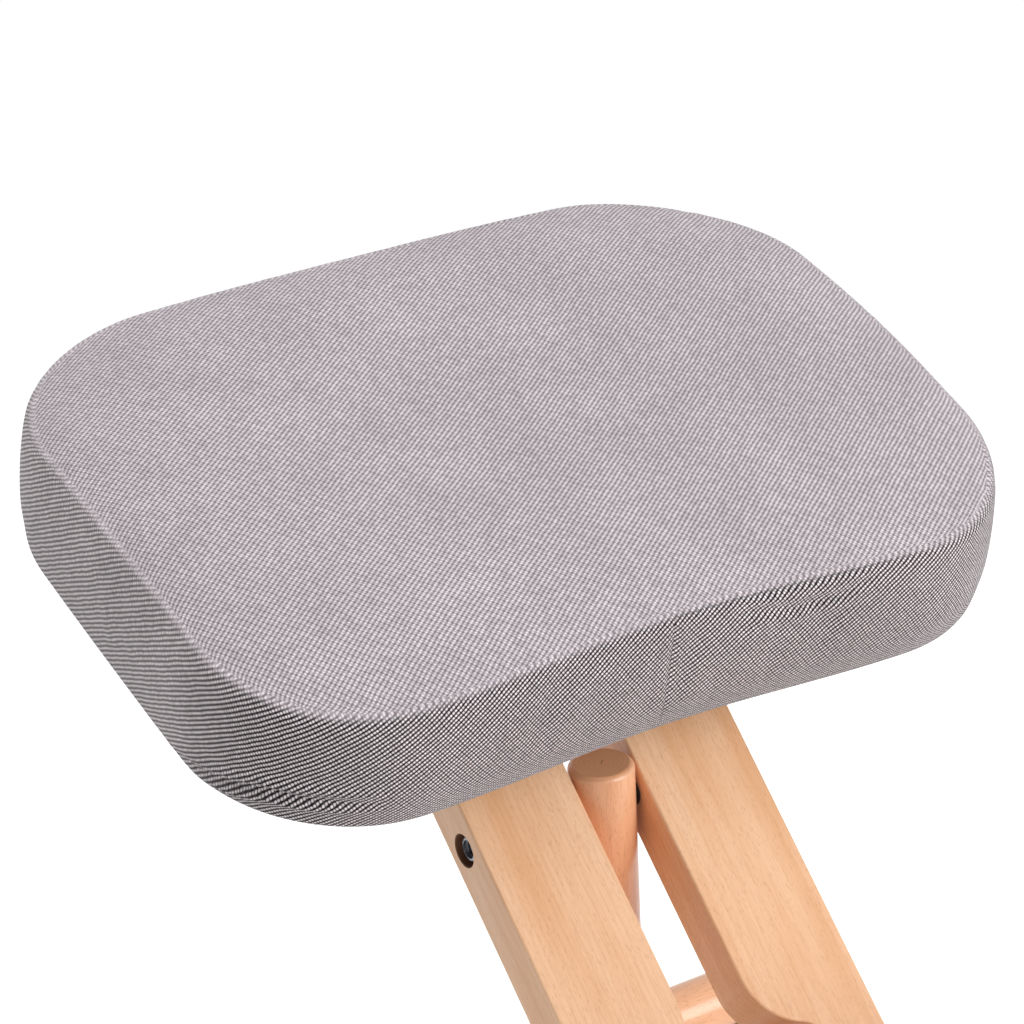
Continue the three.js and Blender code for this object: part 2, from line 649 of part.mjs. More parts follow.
/** Adds the bolts and barrel nuts that draw a foot bar onto its rails, which leave it along +Y or -Y. */
function addBarBolts(group, name, barAlong, railEnd, boltX) {
  const nutAlong = barAlong + railEnd * BARREL_NUT_FROM_BAR;
  const headAlong = barAlong - railEnd * BAR_WOOD_UNDER_HEAD;
  const length = BAR_WOOD_UNDER_HEAD + BARREL_NUT_FROM_BAR + BARREL_NUT;
  sides.forEach(([label, side]) => {
    const x = side * boltX;
    addPiece(group, `${name}_bar_bolt_${label}`, aimed(
      socketBolt({
        diameter: BAR_BOLT,
        length,
        head: BAR_BOLT_HEAD,
        headHeight: BAR_BOLT_HEAD_HEIGHT,
        socket: BAR_BOLT_SOCKET,
        count: SCREW_SIDES,
      }), point(x, headAlong - railEnd * CLEARANCE, 0), point(0, -railEnd, 0)), zinc);
    const barrel = crossRod(BARREL_NUT, x - BARREL_NUT_LENGTH / 2, x + BARREL_NUT_LENGTH / 2, nutAlong, 0);
    const thread = rod(barHole, point(x, nutAlong - BARREL_NUT, 0), point(x, nutAlong + BARREL_NUT, 0),
      HOLE_SIDES);
    addPiece(group, `${name}_barrel_nut_${label}`, cut(barrel, [thread]), zinc);
  });
}

/** Adds a long bolt and its nut across both wide rails, the nut on the left. */
function addPivotBolt(group, name, along) {
  const seat = railOuter - PIVOT_COUNTERBORE_DEPTH + CLEARANCE;
  const nutFace = seat + PIVOT_NUT_HEIGHT;
  const length = seat + nutFace - BOLT_END_RECESS;
  addPiece(group, `${name}_bolt`, aimed(
    socketBolt({
      diameter: PIVOT_BOLT,
      length,
      head: PIVOT_HEAD,
      headHeight: PIVOT_HEAD_HEIGHT,
      socket: PIVOT_SOCKET,
    }), point(seat, along, 0), point(1, 0, 0)), zinc);
  addPiece(group, `${name}_nut`, aimed(
    hexNut(PIVOT_NUT_FLATS, pivotHole, PIVOT_NUT_HEIGHT), point(-seat, along, 0), point(-1, 0, 0)), zinc);
}

// Seat frame
sides.forEach(([label, side]) => addPiece(seatFrame, `seat_rail_${label}`, seatRail(side), beech));
addPivotBolt(seatFrame, 'top_pivot', 0);
addPivotBolt(seatFrame, 'cross_pivot', -crossAlong);
addBarBolts(seatFrame, 'front', -footAlong, 1, legMiddle);
addFoot(frontFoot, 'front', point(0, Math.cos(railSlope), Math.sin(railSlope)), legMiddle);

// Seat
addUpholstery(seatUnit, 'seat', SEAT, seatBoltPlaces);
addBoardBolts(seatUnit, 'seat', seatBoltPlaces, seatUnderside - SEAT_WOOD_UNDER_HEAD - CLEARANCE);

// Knee frame
sides.forEach(([label, side]) => {
  addPiece(kneeFrame, `knee_rail_${label}`, kneeRail(side), beech);
  addPiece(kneeFrame, `cross_pivot_washer_${label}`, aimed(
    ring(PIVOT_WASHER, pivotHole, PIVOT_WASHER_THICKNESS),
    point(side * (kneeOuter + CLEARANCE), -kneeCross, 0), point(side, 0, 0)), nylon);
});
addPiece(kneeFrame, 'cross_pivot_sleeve', aimed(
  ring(SLEEVE, pivotHole, 2 * (railInner - CLEARANCE)),
  point(CLEARANCE - railInner, -kneeCross, 0), point(1, 0, 0)), zinc);
addBarBolts(kneeFrame, 'rear', 0, -1, kneeMiddle);
addFoot(rearFoot, 'rear', point(0, -Math.cos(kneeRise), Math.sin(kneeRise)), kneeMiddle);

// Knee pad
addUpholstery(kneeUnit, 'knee', PAD, padBoltPlaces);
addBoardBolts(kneeUnit, 'knee', padBoltPlaces, -DUST_COVER - 2 * CLEARANCE - PAD_WOOD_UNDER_HEAD);

// Post, its spacers and its clamp
const post = aimed(
  roundBar(ROUND_STOCK, POST_HEAD + postLength + POST_TAIL, POST_RIM),
  point(0, 0, POST_HEAD), point(0, 0, -1));
addPiece(postUnit, 'post', cut(post, [
  crossRod(pivotHole, -ROUND_STOCK, ROUND_STOCK, 0, 0),
  crossRod(pivotHole, -ROUND_STOCK, ROUND_STOCK, 0, -postLength),
]), beechRound);
const spacerThickness = POST_SIDE_GAP - 2 * CLEARANCE;
[['top_pivot', 0], ['clamp', -postLength]].forEach(([name, height]) => sides.forEach(([label, side]) => {
  addPiece(postUnit, `${name}_spacer_${label}`, aimed(
    ring(POST_SPACER, pivotHole, spacerThickness),
    point(side * (stockRadius + CLEARANCE), 0, height), point(side, 0, 0)), nylon);
}));
sides.forEach(([label, side]) => addPiece(postUnit, `clamp_washer_${label}`, aimed(
  ring(CLAMP_WASHER, pivotHole, CLAMP_WASHER_THICKNESS),
  point(side * (kneeOuter + CLEARANCE), 0, -postLength), point(side, 0, 0)), zinc));

const clampSeat = kneeOuter + CLAMP_WASHER_THICKNESS + 2 * CLEARANCE;

/** A domed bolt head with its shank. It points along +Y and the head's underside is at the origin. */
function domedBolt(diameter, length, head, headHeight) {
  const profile = [
    [0, -length],
    [diameter / 2 - METAL_CHAMFER, -length],
    [diameter / 2, -length + METAL_CHAMFER],
    [diameter / 2, 0],
  ];
  for (let i = 0; i < DOME_STEPS; i += 1) {
    const angle = (i / DOME_STEPS) * Math.PI / 2;
    profile.push([(head / 2) * Math.cos(angle), headHeight * Math.sin(angle)]);
  }
  return turned([...profile, [0, headHeight]], HOLE_SIDES);
}

addPiece(postUnit, 'clamp_bolt', aimed(
  domedBolt(PIVOT_BOLT, 2 * clampSeat + KNOB_GRIP_ON_BOLT, CLAMP_HEAD, CLAMP_HEAD_HEIGHT),
  point(clampSeat, 0, -postLength), point(1, 0, 0)), zinc);

/** A lobed hand knob on a round neck. It stands on +Z from z = 0 and has a blind bore from below. */
function knob() {
  const outline = [];
  for (let i = 0; i < KNOB_LOBES * LOBE_STEPS; i += 1) {
    const angle = (i / (KNOB_LOBES * LOBE_STEPS)) * 2 * Math.PI;
    const radius = (KNOB - KNOB_LOBE_DEPTH + KNOB_LOBE_DEPTH * Math.cos(KNOB_LOBES * angle)) / 2;
    outline.push(new THREE.Vector2(radius * Math.cos(angle), radius * Math.sin(angle)));
  }
  const grip = plate(outline, KNOB_THICKNESS, KNOB_RIM).translate(0, 0, KNOB_NECK_LENGTH);
  const neck = rod(KNOB_NECK, point(0, 0, 0), point(0, 0, KNOB_NECK_LENGTH + KNOB_THICKNESS / 2), HOLE_SIDES);
  const bore = rod(pivotHole, point(0, 0, -OVERRUN), point(0, 0, KNOB_GRIP_ON_BOLT + CLEARANCE), HOLE_SIDES);
  return cut(joined(grip, neck), [bore]);
}

const knobUnit = new THREE.Group();
knobUnit.position.set(-clampSeat - CLEARANCE, 0, -postLength);
knobUnit.rotation.y = -Math.PI / 2;
postUnit.add(knobUnit);
addPiece(knobUnit, 'clamp_knob', knob(), plastic);

// The origin is on the floor below the middle of the chair's length
const bounds = new THREE.Box3().setFromObject(chair, true);
chair.position.y = -(bounds.min.y + bounds.max.y) / 2;

export default chair;
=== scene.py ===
"""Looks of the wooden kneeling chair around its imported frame.

Lengths are in millimetres until a mesh is made. Each piece is built in the axes of the frame that carries
it, and the grain of every wooden piece runs along its own Y.
"""

import json
import logging
import math
from contextlib import contextmanager
from dataclasses import dataclass, field
from enum import Enum
from functools import lru_cache
from typing import Iterable, Iterator, Sequence

import bmesh
import bpy
import numpy as np
from mathutils import Matrix, Vector

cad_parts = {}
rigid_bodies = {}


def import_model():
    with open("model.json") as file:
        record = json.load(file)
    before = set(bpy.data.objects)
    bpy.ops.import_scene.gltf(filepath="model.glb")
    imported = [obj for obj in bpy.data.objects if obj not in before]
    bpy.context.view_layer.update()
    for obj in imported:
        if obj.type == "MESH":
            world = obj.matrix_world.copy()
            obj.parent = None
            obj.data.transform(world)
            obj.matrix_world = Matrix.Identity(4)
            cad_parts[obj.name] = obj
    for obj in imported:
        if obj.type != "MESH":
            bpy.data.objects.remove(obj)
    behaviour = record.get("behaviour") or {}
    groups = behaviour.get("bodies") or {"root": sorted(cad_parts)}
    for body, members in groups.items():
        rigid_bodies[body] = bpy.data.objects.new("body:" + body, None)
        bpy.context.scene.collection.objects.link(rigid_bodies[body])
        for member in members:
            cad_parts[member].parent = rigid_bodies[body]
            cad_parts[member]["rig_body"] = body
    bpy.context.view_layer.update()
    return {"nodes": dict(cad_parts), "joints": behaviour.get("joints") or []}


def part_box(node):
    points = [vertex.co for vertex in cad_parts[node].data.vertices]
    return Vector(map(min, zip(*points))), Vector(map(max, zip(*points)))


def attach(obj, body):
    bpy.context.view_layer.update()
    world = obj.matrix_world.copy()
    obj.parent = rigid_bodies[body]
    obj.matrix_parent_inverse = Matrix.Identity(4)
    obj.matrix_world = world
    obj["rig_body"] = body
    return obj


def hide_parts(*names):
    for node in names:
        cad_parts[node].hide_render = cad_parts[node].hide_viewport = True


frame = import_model()

log = logging.getLogger("kneeling_chair")

MM = 0.001
SIDES = {"left": -1, "right": 1}
UP_Y = Vector((0, 1, 0))

# How finely round forms are divided
FINE_SIDES = 72
SMALL_SIDES = 40
EDGE_STEPS = 5
ARC_STEPS = 20
DOME_STEPS = 10
SHARP_ANGLE = math.radians(32)

# Clearances and overruns of the cuts
CLEARANCE = 0.3
OVERRUN = 20.0
LIP = 0.5

# Points of a cut mesh that lie closer than this become one, in metres
SAME_POINT = 3e-6

# The cushions' cloth map and the marks on their points
CLOTH_MAP = "cloth"
SIDE_MARK = "side"
HOLD_MARK = "hold"
SEAM_MARK = "seam"
LAID_MARK = "laid"

# The laid mark of points off the boxing: far along it and above its ridge
OFF_BOXING = (1000.0, -60.0, -60.0)

# The rows round a cushion's ridge and round its hem, in degrees of turn
RIDGE_TURNS = (62, 44, 27, 12)
HEM_TURNS = (22, 45, 68, 90)

# How much of the seam each of the first rows shows
SEAM_SHARES = (0.3, 0.7, 1.0, 0.4)

# The seam's gathers: how strong, how many in a radian, and where they start
GATHERS = ((0.25, 90, 0.0), (0.2, 37, 1.3))

# How far up from its hem a cushion is held, and how many steps fill it
HEM_HOLD = 6.5
FILL_FRAMES = 20

# Less than this share of a way counts as none
NOTHING = 1e-9

Profile = Sequence[tuple[float, float]]
Colour = tuple[float, float, float]


# Forms


@dataclass
class Form:
    """Corner points in millimetres and the faces between them."""

    points: np.ndarray
    faces: list[tuple[int, ...]]

    def moved(self, matrix: Matrix) -> "Form":
        """The same form moved by a matrix."""
        turn = np.array(matrix.to_3x3())
        return Form(self.points @ turn.T + np.array(matrix.translation), self.faces)


@dataclass(frozen=True)
class Cut:
    """A cutter, and where it stands in the axes of its frame."""

    form: Form
    place: Matrix = field(default_factory=Matrix)


def turned(profile: Profile, sides: int = FINE_SIDES) -> Form:
    """Turns a profile about +Y.

    Args:
        profile: Pairs of radius and height. It starts and ends on the axis, or closes on itself.
        sides: How many steps a full turn has.

    Returns:
        The closed form.
    """
    closes = tuple(profile[0]) == tuple(profile[-1])
    rows = list(profile[:-1]) if closes else list(profile)
    points: list[tuple[float, float, float]] = []
    rings: list[list[int]] = []
    for radius, height in rows:
        count = sides if radius > 0 else 1
        first = len(points)
        for step in range(count):
            angle = 2 * math.pi * step / sides
            points.append((radius * math.cos(angle), height, radius * math.sin(angle)))
        rings.append([first + step % count for step in range(sides)])
    pairs = list(zip(rings, rings[1:]))
    if closes:
        pairs.append((rings[-1], rings[0]))
    faces = []
    for low, high in pairs:
        for step in range(sides):
            after = (step + 1) % sides
            corners = (low[step], low[after], high[after], high[step])
            face = tuple(dict.fromkeys(corners))
            if len(face) > 2:
                faces.append(face)
    return Form(np.array(points, float), faces)


def rod(diameter: float, start: float, end: float, sides: int = FINE_SIDES) -> Form:
    """A plain round rod along Y between two heights."""
    radius = diameter / 2
    low, high = sorted((start, end))
    return turned([(0, low), (radius, low), (radius, high), (0, high)], sides)


def ring(outer: float, inner: float, thickness: float, edge: float) -> Form:
    """A flat ring that stands on +Y from the origin, its outer rims eased."""
    far = outer / 2
    near = inner / 2
    return turned([
        (near, 0), (far - edge, 0), (far, edge), (far, thickness - edge), (far - edge, thickness),
        (near, thickness), (near, 0),
    ])


def drill(diameter: float, depth: float, sides: int = FINE_SIDES, pilot: float = 0.0,
          reach: float = 0.0) -> Form:
    """A cutter for a hole that starts at y = 0, runs down -Y and breaks the edge at its mouth.

    Args:
        diameter: The hole's diameter.
        depth: How deep it goes.
        sides: How many steps a full turn has.
        pilot: The diameter of a narrower hole that goes on from its floor, or nothing.
        reach: How deep that narrower hole goes.

    Returns:
        The cutter, one closed form.
    """
    radius = diameter / 2
    above = OVERRUN / 4
    tip = [(0, -reach), (pilot / 2, -reach), (pilot / 2, -depth)] if pilot else [(0, -depth)]
    mouth = [(radius, -depth), (radius, -LIP), (radius + LIP + above, above), (0, above)]
    return turned(tip + mouth, sides)


def block(size: Sequence[float]) -> Form:
    """A rectangular cutter round the origin."""
    signs = [(x, y, z) for x in (-1, 1) for y in (-1, 1) for z in (-1, 1)]
    points = np.array(signs, float) * np.array(size, float) / 2
    faces = [(0, 1, 3, 2), (4, 6, 7, 5), (0, 4, 5, 1), (2, 3, 7, 6), (0, 2, 6, 4), (1, 5, 7, 3)]
    return Form(points, faces)


def hexagonal(flats: float, low: float, high: float) -> Form:
    """A six-sided bar across its flats, along Y between two heights."""
    return rod(2 * flats / math.sqrt(3), low, high, 6)


def drawn_in(outline: np.ndarray, distance: float) -> np.ndarray:
    """Moves an anticlockwise outline inwards by a distance, with its corners mitred."""
    ahead = np.roll(outline, -1, axis=0) - outline
    ahead = ahead / np.linalg.norm(ahead, axis=1, keepdims=True)
    normal_out = np.stack([-ahead[:, 1], ahead[:, 0]], axis=1)
    normal_in = np.roll(normal_out, 1, axis=0)
    share = 1 + np.sum(normal_in * normal_out, axis=1, keepdims=True)
    return outline + distance * (normal_in + normal_out) / share


def anticlockwise(outline: np.ndarray) -> np.ndarray:
    """The outline, turned round if it runs clockwise."""
    after = np.roll(outline, -1, axis=0)
    area = np.sum(outline[:, 0] * after[:, 1] - outline[:, 1] * after[:, 0])
    return outline if area > 0 else outline[::-1].copy()


def skinned(rings: Sequence[np.ndarray]) -> Form:
    """Skins rings of as many points each, from the first to the last, and closes both ends."""
    count = len(rings[0])
    faces: list[tuple[int, ...]] = []
    for row in range(len(rings) - 1):
        for step in range(count):
            after = (step + 1) % count
            low = row * count
            high = low + count
            faces.append((low + step, low + after, high + after, high + step))
    last = (len(rings) - 1) * count
    faces.append(tuple(reversed(range(count))))
    faces.append(tuple(range(last, last + count)))
    return Form(np.vstack(rings), faces)


def eased(edge: float, steps: int) -> list[tuple[float, float]]:
    """The quarter round of an edge, as pairs of how far in and how far up it stands."""
    turns = [math.pi / 2 * step / steps for step in range(steps + 1)]
    return [(edge * (1 - math.sin(turn)), edge * (1 - math.cos(turn))) for turn in turns]


def extruded(outline: np.ndarray, thickness: float, edge: float) -> Form:
    """A plate from an outline on XY whose two rims are rounded. It stands on +Z from z = 0."""
    outline = anticlockwise(outline)
    levels = eased(edge, EDGE_STEPS)
    levels += [(inset, thickness - height) for inset, height in reversed(levels)]
    rings = []
    for inset, height in levels:
        flat = drawn_in(outline, inset)
        rings.append(np.column_stack([flat, np.full(len(flat), height)]))
    return skinned(rings)


def arc(centre: tuple[float, float], radius: float, start: float, end: float) -> list[tuple[float, float]]:
    """Points of an arc on XY, its ends included, between two angles in radians."""
    angles = np.linspace(start, end, ARC_STEPS + 1)
    return [(centre[0] + radius * math.cos(a), centre[1] + radius * math.sin(a)) for a in angles]


def frame_at(y: float, z: float, angle: float) -> Matrix:
    """Axes whose +Y leans up towards the rear by an angle."""
    return Matrix.Translation((0, y, z)) @ Matrix.Rotation(angle, 4, "X")


def aimed(place: Sequence[float], way: Sequence[float]) -> Matrix:
    """Stands +Y at a place and points it along a way."""
    turn = UP_Y.rotation_difference(Vector(way).normalized())
    return Matrix.Translation(place) @ turn.to_matrix().to_4x4()


# Meshes


def in_metres(place: Matrix) -> Matrix:
    """A matrix whose place is in metres."""
    made = place.copy()
    made.translation = place.translation * MM
    return made


@contextmanager
def reshaping(mesh: bpy.types.Mesh) -> Iterator[bmesh.types.BMesh]:
    """Opens a mesh for changes to its faces and writes them back."""
    shaper = bmesh.new()
    shaper.from_mesh(mesh)
    yield shaper
    shaper.to_mesh(mesh)
    shaper.free()


def new_piece(name: str, form: Form, place: Matrix,
              finish: bpy.types.Material | None = None) -> bpy.types.Object:
    """Makes an object from a form.

    Args:
        name: The object's name.
        form: The form, in the axes of its place.
        place: Where those axes stand, in millimetres.
        finish: The material that it wears.

    Returns:
        The object, linked into the scene.
    """
    mesh = bpy.data.meshes.new(name)
    mesh.from_pydata((form.points * MM).tolist(), [], form.faces)
    with reshaping(mesh) as shaper:
        bmesh.ops.recalc_face_normals(shaper, faces=shaper.faces)
    piece = bpy.data.objects.new(name, mesh)
    bpy.context.scene.collection.objects.link(piece)
    piece.matrix_world = in_metres(place)
    if finish is not None:
        mesh.materials.append(finish)
    return piece


def applied(piece: bpy.types.Object) -> None:
    """Turns a piece's modifiers into its mesh, and joins the points that they leave on top of each other."""
    bpy.context.view_layer.update()
    graph = bpy.context.evaluated_depsgraph_get()
    mesh = bpy.data.meshes.new_from_object(piece.evaluated_get(graph), depsgraph=graph)
    with reshaping(mesh) as shaper:
        bmesh.ops.remove_doubles(shaper, verts=shaper.verts, dist=SAME_POINT)
        bmesh.ops.dissolve_degenerate(shaper, edges=shaper.edges, dist=SAME_POINT)
    old = piece.data
    piece.modifiers.clear()
    piece.data = mesh
    mesh.name = piece.name
    bpy.data.meshes.remove(old)


def combined(piece: bpy.types.Object, others: Iterable[Cut], place: Matrix, operation: str,
             finish: bpy.types.Material | None) -> None:
    """Cuts forms out of a piece, joins them to it, or leaves what it shares with them.

    Args:
        piece: The object that is changed.
        others: The forms, in the axes of the frame.
        place: Where those axes stand.
        operation: DIFFERENCE, UNION or INTERSECT.
        finish: The material of the faces that a form leaves.
    """
    tools = []
    for number, other in enumerate(others):
        tool = new_piece(f"tool_{number}", other.form, place @ other.place, finish)
        tools.append(tool)
        step = piece.modifiers.new(tool.name, "BOOLEAN")
        step.operation = operation
        step.solver = "EXACT"
        step.material_mode = "TRANSFER" if finish else "INDEX"
        step.object = tool
    applied(piece)
    for tool in tools:
        bpy.data.meshes.remove(tool.data)


def smoothed(piece: bpy.types.Object) -> bpy.types.Object:
    """Shades a piece smooth up to the sharp angle, with its large faces kept flat."""
    mesh = piece.data
    mesh.shade_smooth()
    mesh.set_sharp_from_angle(angle=SHARP_ANGLE)
    flatter = piece.modifiers.new("flat_faces", "WEIGHTED_NORMAL")
    flatter.keep_sharp = True
    return piece


def stands_for(piece: bpy.types.Object, node: str) -> bpy.types.Object:
    """Rides a piece on the body of the frame's node that it replaces, and reports it."""
    body = frame["nodes"][node]["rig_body"]
    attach(piece, body)
    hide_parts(node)
    log.info("%s replaces %s on %s", piece.name, node, body)
    return piece


# Shader groups


class Graph:
    """Lays the nodes of one shader tree and links them."""

    def __init__(self, tree: bpy.types.NodeTree) -> None:
        """Starts on a tree."""
        self.tree = tree

    def node(self, kind: str, **settings: object) -> bpy.types.Node:
        """Adds a node of a kind and sets its options."""
        made = self.tree.nodes.new(kind)
        for name, value in settings.items():
            setattr(made, name, value)
        return made

    def feed(self, socket: bpy.types.NodeSocket, value: object) -> None:
        """Links another socket to this one, or sets its value."""
        if isinstance(value, bpy.types.NodeSocket):
            self.tree.links.new(value, socket)
        else:
            socket.default_value = value

    def wired(self, kind: str, inputs: dict[str | int, object], **settings: object) -> bpy.types.Node:
        """Adds a node of a kind, sets its options and feeds its sockets by name or number."""
        made = self.node(kind, **settings)
        for name, value in inputs.items():
            self.feed(made.inputs[name], value)
        return made

    def maths(self, operation: str, *values: object, clamp: bool = False) -> bpy.types.NodeSocket:
        """One sum of up to three values."""
        made = self.wired("ShaderNodeMath", dict(enumerate(values)), operation=operation, use_clamp=clamp)
        return made.outputs[0]

    def times(self, first: object, *others: object) -> bpy.types.NodeSocket:
        """The product of two or more values."""
        for other in others:
            first = self.maths("MULTIPLY", first, other)
        return first

    def scaled(self, vector: object, factors: Sequence[float]) -> bpy.types.NodeSocket:
        """A vector times another, part by part."""
        return self.wired("ShaderNodeVectorMath", {0: vector, 1: factors}, operation="MULTIPLY").outputs[0]

    def parts(self, vector: object) -> tuple[bpy.types.NodeSocket, ...]:
        """The three parts of a vector."""
        return tuple(self.wired("ShaderNodeSeparateXYZ", {0: vector}).outputs)

    def vector(self, x: object, y: object, z: object = 0.0) -> bpy.types.NodeSocket:
        """A vector from its parts."""
        return self.wired("ShaderNodeCombineXYZ", {0: x, 1: y, 2: z}).outputs[0]

    def reach(self, x: object, y: object) -> bpy.types.NodeSocket:
        """How far two parts of a vector reach together."""
        return self.maths("SQRT", self.maths("ADD", self.times(x, x), self.times(y, y)))

    def noise(self, vector: object, scale: float, detail: float = 2.0,
              roughness: float = 0.5) -> bpy.types.NodeSocket:
        """Soft noise from 0 to 1."""
        inputs = {"Vector": vector, "Scale": scale, "Detail": detail, "Roughness": roughness}
        return self.wired("ShaderNodeTexNoise", inputs).outputs["Fac"]

    def span(self, value: object, low: object, high: object, to_low: object = 0.0,
             to_high: object = 1.0) -> bpy.types.NodeSocket:
        """Carries a value smoothly from one span to another."""
        inputs = {"Value": value, "From Min": low, "From Max": high, "To Min": to_low, "To Max": to_high}
        return self.wired("ShaderNodeMapRange", inputs, interpolation_type="SMOOTHSTEP").outputs["Result"]

    def blend(self, share: object, low: object, high: object, kind: str = "MIX") -> bpy.types.NodeSocket:
        """Mixes two colours by a share."""
        made = self.wired("ShaderNodeMix", {0: share, 6: low, 7: high}, data_type="RGBA", blend_type=kind)
        return made.outputs[2]

    def bump(self, height: object, distance: float, strength: float) -> bpy.types.NodeSocket:
        """A normal from a height."""
        inputs = {"Distance": distance, "Strength": strength, "Height": height}
        return self.wired("ShaderNodeBump", inputs).outputs["Normal"]

    def mark(self, name: str) -> bpy.types.Node:
        """Reads an attribute of the mesh."""
        return self.node("ShaderNodeAttribute", attribute_name=name)


class Group(Graph):
    """A shader node group in the making, with named inputs and outputs."""

    def __init__(self, name: str, inputs: dict[str, str], outputs: dict[str, str]) -> None:
        """Makes the group with its sockets, whose kinds are Float, Vector or Color."""
        tree = bpy.data.node_groups.new(name, "ShaderNodeTree")
        super().__init__(tree)
        for way, sockets in (("INPUT", inputs), ("OUTPUT", outputs)):
            for label, kind in sockets.items():
                tree.interface.new_socket(label, in_out=way, socket_type=f"NodeSocket{kind}")
        self.given = self.node("NodeGroupInput").outputs
        self.result = self.node("NodeGroupOutput").inputs

    def put_out(self, **values: bpy.types.NodeSocket) -> bpy.types.NodeTree:
        """Links the outputs by name and hands the group over."""
        for label, value in values.items():
            self.feed(self.result[label], value)
        return self.tree


def floats(*names: str, **others: str) -> dict[str, str]:
    """Sockets of a group by name: Float for the plain names, and other kinds by keyword."""
    return {**others, **dict.fromkeys(names, "Float")}


@lru_cache(maxsize=None)
def weave_group() -> bpy.types.NodeTree:
    """Plain weave cut on the bias, from coordinates in metres on the cloth.

    Every second gap between the nubs along a row is shallower by a share.
    """
    made = Group("basket_weave", floats("Bias", "Along", "Across", "Shallow", Coordinates="Vector"),
                 floats("Nub", "Gap", "Yarn", "Fuzz"))
    cloth = made.given["Coordinates"]
    turn = made.wired("ShaderNodeVectorRotate", {"Vector": cloth, "Angle": made.given["Bias"]},
                      rotation_type="Z_AXIS")
    x, y, _ = made.parts(turn.outputs[0])
    wander = made.maths("MULTIPLY_ADD", made.noise(cloth, 70.0), 0.5, -0.25)
    u = made.maths("ADD", made.maths("DIVIDE", x, made.given["Along"]), wander)
    v = made.maths("ADD", made.maths("DIVIDE", y, made.given["Across"]), wander)
    turn_u = made.times(u, 2 * math.pi)
    ridge_u = made.maths("ABSOLUTE", made.maths("SINE", turn_u))
    ridge_v = made.maths("ABSOLUTE", made.maths("SINE", made.times(v, math.pi)))
    nub = made.times(made.maths("POWER", ridge_u, 0.32), made.maths("POWER", ridge_v, 0.95))
    every_second = made.maths("MULTIPLY_ADD", made.maths("COSINE", turn_u), 0.5, 0.5)
    others = made.maths("SUBTRACT", 1.0, every_second)
    deep = made.maths("MULTIPLY_ADD", others, made.given["Shallow"], every_second)
    cell = made.vector(made.maths("FLOOR", made.times(u, 2.0)), made.maths("FLOOR", v))
    chance = made.wired("ShaderNodeTexWhiteNoise", {"Vector": cell}, noise_dimensions="2D")
    gap = made.times(made.span(nub, 1.0, 0.36), deep)
    fuzz = made.noise(cloth, 2600.0, 2.0, 0.6)
    return made.put_out(Nub=nub, Gap=gap, Yarn=chance.outputs["Value"], Fuzz=fuzz)


@lru_cache(maxsize=None)
def grain_group() -> bpy.types.NodeTree:
    """Growth rings, rays and pores of beech, from coordinates in metres with the grain along Y."""
    made = Group("beech_grain", floats("Ring", Coordinates="Vector", Pith="Vector"),
                 floats("Rings", "Flecks", "Tone", "Pores", "Crack"))
    wood = made.given["Coordinates"]
    shift = made.wired("ShaderNodeVectorMath", {0: wood, 1: made.given["Pith"]}, operation="SUBTRACT")
    from_pith = shift.outputs[0]
    sway = made.noise(made.scaled(from_pith, (1, 0.18, 1)), 22.0)
    x, _, z = made.parts(from_pith)
    reach = made.reach(x, z)
    swayed = made.maths("ADD", reach, made.times(sway, 0.006))
    phase = made.maths("FRACT", made.maths("DIVIDE", swayed, made.given["Ring"]))
    rings = made.times(made.span(phase, 0.45, 0.95), made.span(phase, 1.0, 0.95))
    cells = made.wired("ShaderNodeTexVoronoi", {"Scale": 1.0, "Vector": made.scaled(wood, (1400, 200, 1400))},
                       feature="F1")
    size = made.maths("MULTIPLY_ADD", made.parts(cells.outputs["Color"])[0], 0.42, 0.04)
    flecks = made.span(cells.outputs["Distance"], size, made.times(size, 0.4))
    tone = made.noise(made.scaled(wood, (1, 0.12, 1)), 38.0, 3.0, 0.55)
    pores = made.noise(made.scaled(wood, (1, 0.035, 1)), 1900.0, 2.0, 0.6)
    straight = made.maths("SUBTRACT", made.maths("SUBTRACT", x, z), 0.0006)
    jagged = made.maths("MULTIPLY_ADD", made.noise(from_pith, 900.0, 1.0), 0.0012, straight)
    narrow = made.span(made.maths("ABSOLUTE", jagged), 0.00025, 0.0006, 1.0, 0.0)
    crack = made.times(narrow, made.span(reach, 0.0018, 0.003, 1.0, 0.0))
    return made.put_out(Rings=rings, Flecks=flecks, Tone=tone, Pores=pores, Crack=crack)


@lru_cache(maxsize=None)
def handling_group() -> bpy.types.NodeTree:
    """Fine scratches, smudges and mottling of a plain finish, from coordinates in metres."""
    made = Group("handling", floats(Coordinates="Vector"), floats("Smudge", "Scratch", "Mottle"))
    surface = made.given["Coordinates"]
    smudge = made.noise(surface, 60.0, 3.0, 0.6)
    lines = made.noise(made.scaled(surface, (1, 14, 1)), 420.0, 2.0, 0.6)
    scratch = made.span(lines, 0.62, 0.72)
    mottle = made.noise(surface, 900.0, 2.0, 0.6)
    return made.put_out(Smudge=smudge, Scratch=scratch, Mottle=mottle)


# Finishes


def linear(red: int, green: int, blue: int) -> tuple[float, float, float, float]:
    """A colour as a shader reads it, from its values on a screen."""
    shares = [value / 255 for value in (red, green, blue)]
    made = [s / 12.92 if s <= 0.04045 else ((s + 0.055) / 1.055) ** 2.4 for s in shares]
    return (*made, 1.0)


